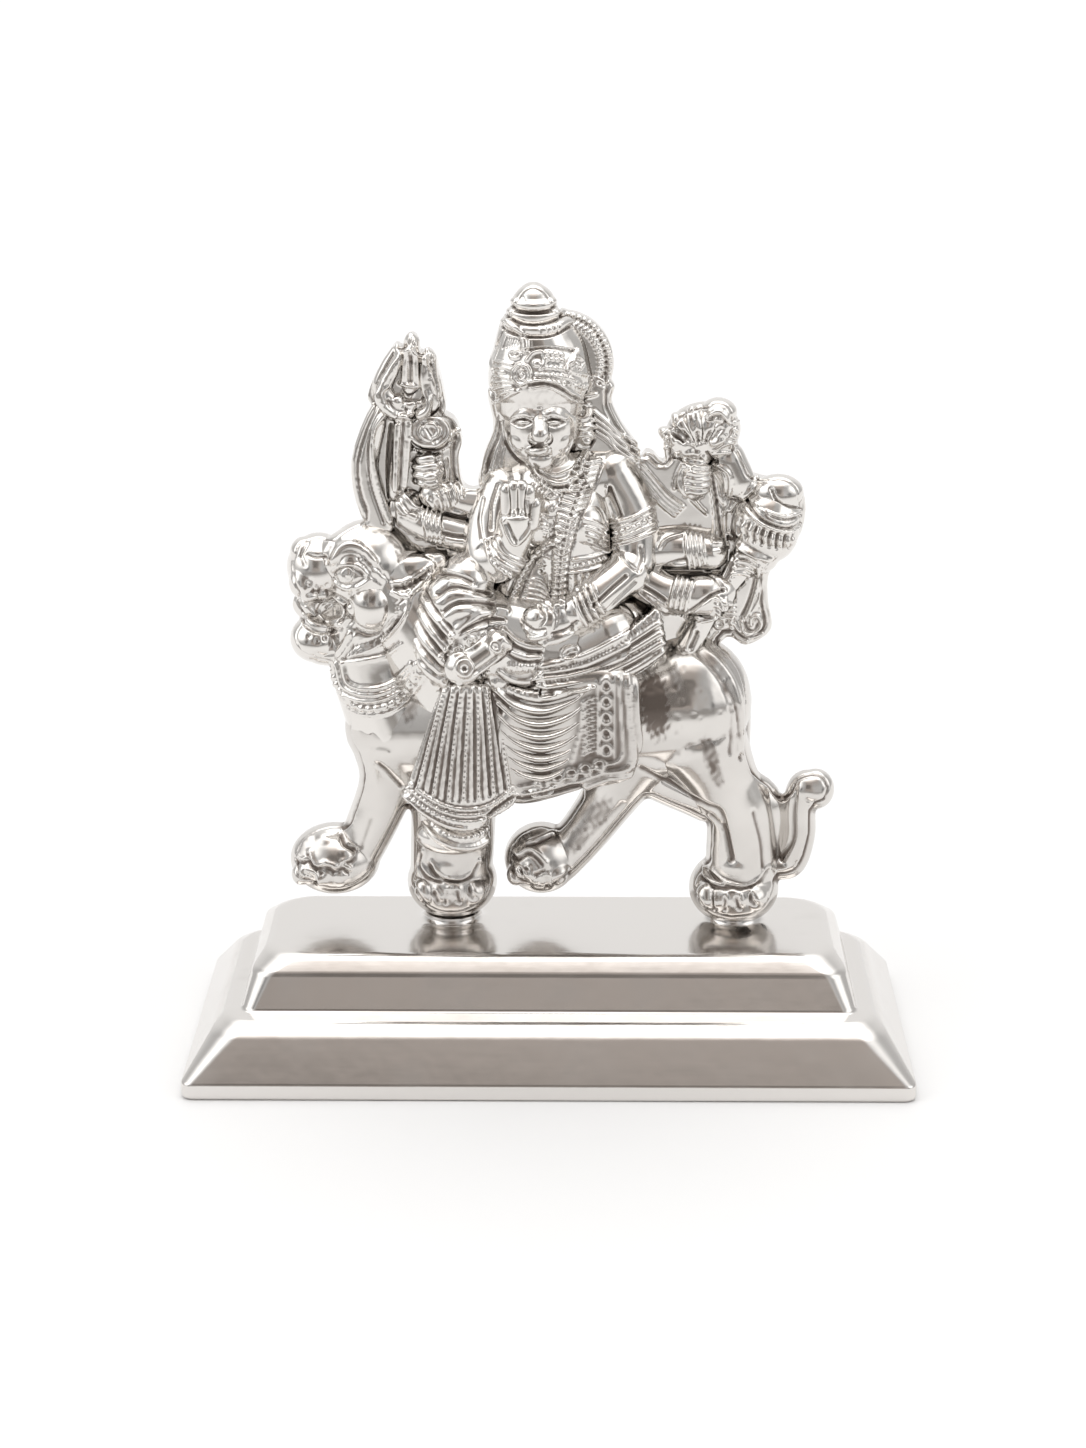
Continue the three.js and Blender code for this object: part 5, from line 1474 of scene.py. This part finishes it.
collars = []
for column, row in COLLAR_SPOTS:
    x, y, _ = at(column, row)
    bpy.ops.mesh.primitive_circle_add(
        vertices=COLLAR_SIDES, radius=COLLAR_FLARE, fill_type="NGON",
        location=(x, y, PLINTH_HEIGHT - COLLAR_ROOT))
    bpy.ops.object.mode_set(mode="EDIT")
    bpy.ops.mesh.select_all(action="SELECT")
    raise_to(COLLAR_ROOT, (1, 1))
    radius, rise = COLLAR_FLARE, 0.0
    for share in np.linspace(0, 1, COLLAR_RISES + 1)[1:]:
        next_radius = COLLAR_NECK + (COLLAR_FLARE - COLLAR_NECK) * (1 - share) ** 2
        next_rise = (SEAT_LEVEL - PLINTH_HEIGHT) * share**2
        raise_to(next_rise - rise, (next_radius / radius,) * 2)
        radius, rise = next_radius, next_rise
    bpy.ops.mesh.select_all(action="SELECT")
    bpy.ops.mesh.normals_make_consistent(inside=False)
    bpy.ops.object.mode_set(mode="OBJECT")
    collars.append(bpy.context.object)
for part in (stepped_plinth, *collars):
    part.select_set(True)
bpy.context.view_layer.objects.active = stepped_plinth
bpy.ops.object.join()
bpy.ops.object.transform_apply(location=True, rotation=True, scale=True)
bpy.ops.object.shade_smooth_by_angle(angle=math.radians(40))
stepped_plinth.select_set(False)
print("plinth has", len(stepped_plinth.data.polygons), "faces")

# %% [markdown]
# ## Finishes
# A finish is a small network of shader nodes. Written out node by node it is long, so one class
# wraps a socket: its operators add the Math nodes, and a formula reads as a formula.

# %% A socket that can be reckoned with
class Reading:
    def __init__(self, tree, socket):
        self.tree = tree
        self.socket = socket

    def node(self, kind, settings=(), **sockets):
        made = self.tree.nodes.new(kind)
        for name, value in dict(settings).items():
            setattr(made, name, value)
        for name, value in sockets.items():
            entry = made.inputs[int(name[1:])] if name[1:].isdigit() else made.inputs[name.replace("_", " ")]
            if isinstance(value, Reading):
                self.tree.links.new(value.socket, entry)
            else:
                entry.default_value = value
        return made

    def maths(self, operation, *terms):
        made = self.node("ShaderNodeMath", {"operation": operation},
                         **{f"_{index}": term for index, term in enumerate(terms)})
        return Reading(self.tree, made.outputs[0])

    def __add__(self, other):
        return self.maths("ADD", self, other)

    def __radd__(self, other):
        return self.maths("ADD", other, self)

    def __sub__(self, other):
        return self.maths("SUBTRACT", self, other)

    def __rsub__(self, other):
        return self.maths("SUBTRACT", other, self)

    def __mul__(self, other):
        return self.maths("MULTIPLY", self, other)

    def __rmul__(self, other):
        return self.maths("MULTIPLY", other, self)

    def step(self, low, high):
        made = self.node("ShaderNodeMapRange", {"interpolation_type": "SMOOTHSTEP"},
                         Value=self, From_Min=low, From_Max=high)
        return Reading(self.tree, made.outputs["Result"])


def new_finish(name):
    material = bpy.data.materials.new(name)
    material.use_nodes = True
    tree = material.node_tree
    shader = tree.nodes["Principled BSDF"]
    place = Reading(tree, tree.nodes.new("ShaderNodeTexCoord").outputs["Object"])
    return material, shader, place


def noise(place, scale, detail=2.0, stretch=(1, 1, 1)):
    squeezed = place.node("ShaderNodeMapping", Vector=place, Scale=stretch)
    made = place.node("ShaderNodeTexNoise", Vector=Reading(place.tree, squeezed.outputs[0]),
                      Scale=scale, Detail=detail)
    return Reading(place.tree, made.outputs["Fac"])


# %% The polished silver
SILVER = (0.77, 0.745, 0.715, 1)
DULL_SILVER = (0.76, 0.735, 0.71, 1)
# Colour of the tarnish, and of the painted shade and painted reflections that the attribute mixes in
TARNISH_AND_SHADE_COLOUR = (0.2, 0.17, 0.15, 1)


def silver_finish(name, uses_tarnish_and_shade, silver, shine, scratch_depth):
    material, shader, place = new_finish(name)
    tree = place.tree
    handling = noise(place, 160, 3)
    scratches = noise(place, 900, 3, (1, 1, 0.12)) * 0.5 + noise(place, 900, 3, (0.1, 1, 1)) * 0.5
    hollows = noise(place, 420, 1)
    if uses_tarnish_and_shade:
        # The attribute holds tarnish in the hollows together with painted shade and painted dark reflections
        attribute = tree.nodes.new("ShaderNodeAttribute")
        attribute.attribute_name = "tarnish_and_painted_shade"
        low = Reading(tree, attribute.outputs["Fac"])
        dark = (low + (handling - 0.5) * 0.25).step(0.2, 0.95)
    else:
        dark = handling.step(0.62, 0.9) * 0.12
    colour = place.node("ShaderNodeMix", {"data_type": "RGBA"}, _0=dark, _6=silver, _7=TARNISH_AND_SHADE_COLOUR)
    tree.links.new(colour.outputs[2], shader.inputs["Base Color"])
    rough = shine + handling.step(0.4, 0.75) * 0.06 + dark * 0.25
    tree.links.new(rough.socket, shader.inputs["Roughness"])
    shader.inputs["Metallic"].default_value = 1.0
    height = hollows * 1.0 + scratches * scratch_depth
    bump = place.node("ShaderNodeBump", Strength=0.35, Distance=0.00006, Height=height)
    tree.links.new(bump.outputs["Normal"], shader.inputs["Normal"])
    return material


figure_silver = silver_finish("chased_silver", True, SILVER, 0.13, 0.35)
plinth_silver = silver_finish("plinth_silver", False, DULL_SILVER, 0.15, 0.6)
for piece in FIGURE:
    piece.data.materials.clear()
    piece.data.materials.append(figure_silver)
stepped_plinth.data.materials.clear()
stepped_plinth.data.materials.append(plinth_silver)
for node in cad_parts:
    solid = bpy.data.objects.get(node)
    if solid is not None and solid.type == "MESH":
        for held in solid.material_slots:
            held.material = plinth_silver
print("silver lies on", len(FIGURE) + 1, "pieces")

# %% [markdown]
# ## Riding on the frame
# Each piece says what it rides on and which solid it stands for.

# %% Ride and replace
for piece in FIGURE:
    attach(piece, "root")
    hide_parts("durga_on_tiger")
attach(stepped_plinth, "root")
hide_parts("stepped_plinth")
print("riding on the root:", *(piece.name for piece in FIGURE), stepped_plinth.name)

# %% [markdown]
# ## The studio
# Polished silver is a mirror, so the light is the picture. A pale tent goes all round, brightest
# overhead, with one greyer patch high in front, which the slopes of the plinth mirror.

# %% The floor
FLOOR_SIZE = 8
# The far colour is the paper's own; the near one is painted shade for the front, where the light would fall
# off
PAPER_PAINTED_SHADE, PAPER_FAR = (0.2, 0.19, 0.18, 1), (0.84, 0.84, 0.84, 1)
bpy.ops.mesh.primitive_plane_add(size=FLOOR_SIZE, location=(0, 0, 0))
floor = bpy.context.object
floor.name = "floor"
paper = bpy.data.materials.new("paper")
paper.use_nodes = True
paper_shader = paper.node_tree.nodes["Principled BSDF"]
paper_place = Reading(paper.node_tree, paper.node_tree.nodes.new("ShaderNodeTexCoord").outputs["Object"])
split_place = paper_place.node("ShaderNodeSeparateXYZ", Vector=paper_place)
toward_sight = Reading(paper.node_tree, split_place.outputs["Y"])
patches = noise(paper_place, 14, 3) - 0.5
# Painted shade: the paper turns dark far in front of the plinth, toward the camera, and the silver mirrors it
painted_falloff = (toward_sight + patches * 0.1).step(-0.45, -0.1)
paper_tone = paper_place.node("ShaderNodeMix", {"data_type": "RGBA"},
                              _0=painted_falloff, _6=PAPER_PAINTED_SHADE, _7=PAPER_FAR)
paper.node_tree.links.new(paper_tone.outputs[2], paper_shader.inputs["Base Color"])
paper_shader.inputs["Roughness"].default_value = 0.9
paper_shader.inputs["Specular IOR Level"].default_value = 0.1
floor.data.materials.append(paper)
floor.select_set(False)
print("the floor measures", FLOOR_SIZE, "m across")

# %% The tent
WARM_WHITE, WARM_STRIP = (1.0, 0.995, 0.99, 1), (1.0, 0.9, 0.83, 1)
world = bpy.data.worlds.new("tent")
bpy.context.scene.world = world
world.use_nodes = True
sky = world.node_tree
way = Reading(sky, sky.nodes.new("ShaderNodeTexCoord").outputs["Generated"])


def toward(azimuth, elevation):
    turn, lift = math.radians(azimuth), math.radians(elevation)
    aim = (math.sin(turn) * math.cos(lift), -math.cos(turn) * math.cos(lift), math.sin(lift))
    made = way.node("ShaderNodeVectorMath", {"operation": "DOT_PRODUCT"}, _0=way, _1=aim)
    return Reading(sky, made.outputs["Value"])


def patch(azimuth, elevation, spread_degrees, softness):
    edge = math.cos(math.radians(spread_degrees))
    inner = math.cos(math.radians(max(spread_degrees - softness, 0)))
    return toward(azimuth, elevation).step(edge, inner)


overhead = patch(180, 86, 44, 24)
left_box = patch(-68, 34, 32, 24)
right_box = patch(66, 30, 28, 22)
behind = patch(180, 20, 60, 45)
left_card = patch(-36, 12, 12, 9)
right_card = patch(38, 8, 11, 8)
split_way = way.node("ShaderNodeSeparateXYZ", Vector=way)
across, deep, high = (Reading(sky, split_way.outputs[axis]) for axis in "XYZ")
clutter = noise(way, 5.5, 2)
wobble = noise(way, 2.6, 4) - 0.5
off_middle = across * across
in_front = deep.step(0.0, -0.1)
strip = off_middle.step(0.10, 0.02) * high.step(-0.06, 0.08) * high.step(0.93, 0.82) * in_front
core_across = (off_middle + wobble * 0.12).step(0.05, 0.02)
core_upward = (high + wobble * 0.5).step(0.2, 0.28)
core = core_across * core_upward * high.step(0.72, 0.6) * in_front
light = (0.57 + overhead * 1.6 + left_box * 1.15 + right_box * 1.05 + behind * 0.4 - strip * 0.12
         - core * (0.2 + clutter * 0.2) - left_card * 0.35 - right_card * 0.35 + wobble * in_front * 0.5)
warmth = sky.nodes.new("ShaderNodeMix")
warmth.data_type = "RGBA"
warmth.inputs[6].default_value = WARM_WHITE
warmth.inputs[7].default_value = WARM_STRIP
sky.links.new(strip.socket, warmth.inputs[0])
background = sky.nodes["Background"]
sky.links.new(warmth.outputs[2], background.inputs["Color"])
sky.links.new(light.socket, background.inputs["Strength"])
print("the tent is made of", len(sky.nodes), "shader nodes")

# %% The camera
CAMERA_TARGET = (-0.00053, 0, 0.0372)
CAMERA_REACH = 0.331
CAMERA_TILT = math.radians(18.31)
CAMERA_TURN = math.radians(0.7)
CAMERA_ROLL = math.radians(0.1)
FILM_HEIGHT = 36
bpy.ops.object.camera_add(
    location=(CAMERA_TARGET[0] + CAMERA_REACH * math.cos(CAMERA_TILT) * math.sin(CAMERA_TURN),
              CAMERA_TARGET[1] - CAMERA_REACH * math.cos(CAMERA_TILT) * math.cos(CAMERA_TURN),
              CAMERA_TARGET[2] + CAMERA_REACH * math.sin(CAMERA_TILT)),
    rotation=(math.pi / 2 - CAMERA_TILT, CAMERA_ROLL, CAMERA_TURN))
camera = bpy.context.object
camera.data.lens = FILM_HEIGHT * SIGHT_LENGTH / SHEET[1]
camera.data.clip_start = 0.01
camera.data.clip_end = 20
bpy.context.scene.camera = camera
bpy.context.scene.view_settings.view_transform = "Standard"
print("the camera looks down by", round(math.degrees(CAMERA_TILT), 1), "degrees")

# %% The size of it all
faces = 0
for piece in (*FIGURE, stepped_plinth):
    faces += sum(len(face.vertices) - 2 for face in piece.data.polygons)
print("triangles in all:", faces)
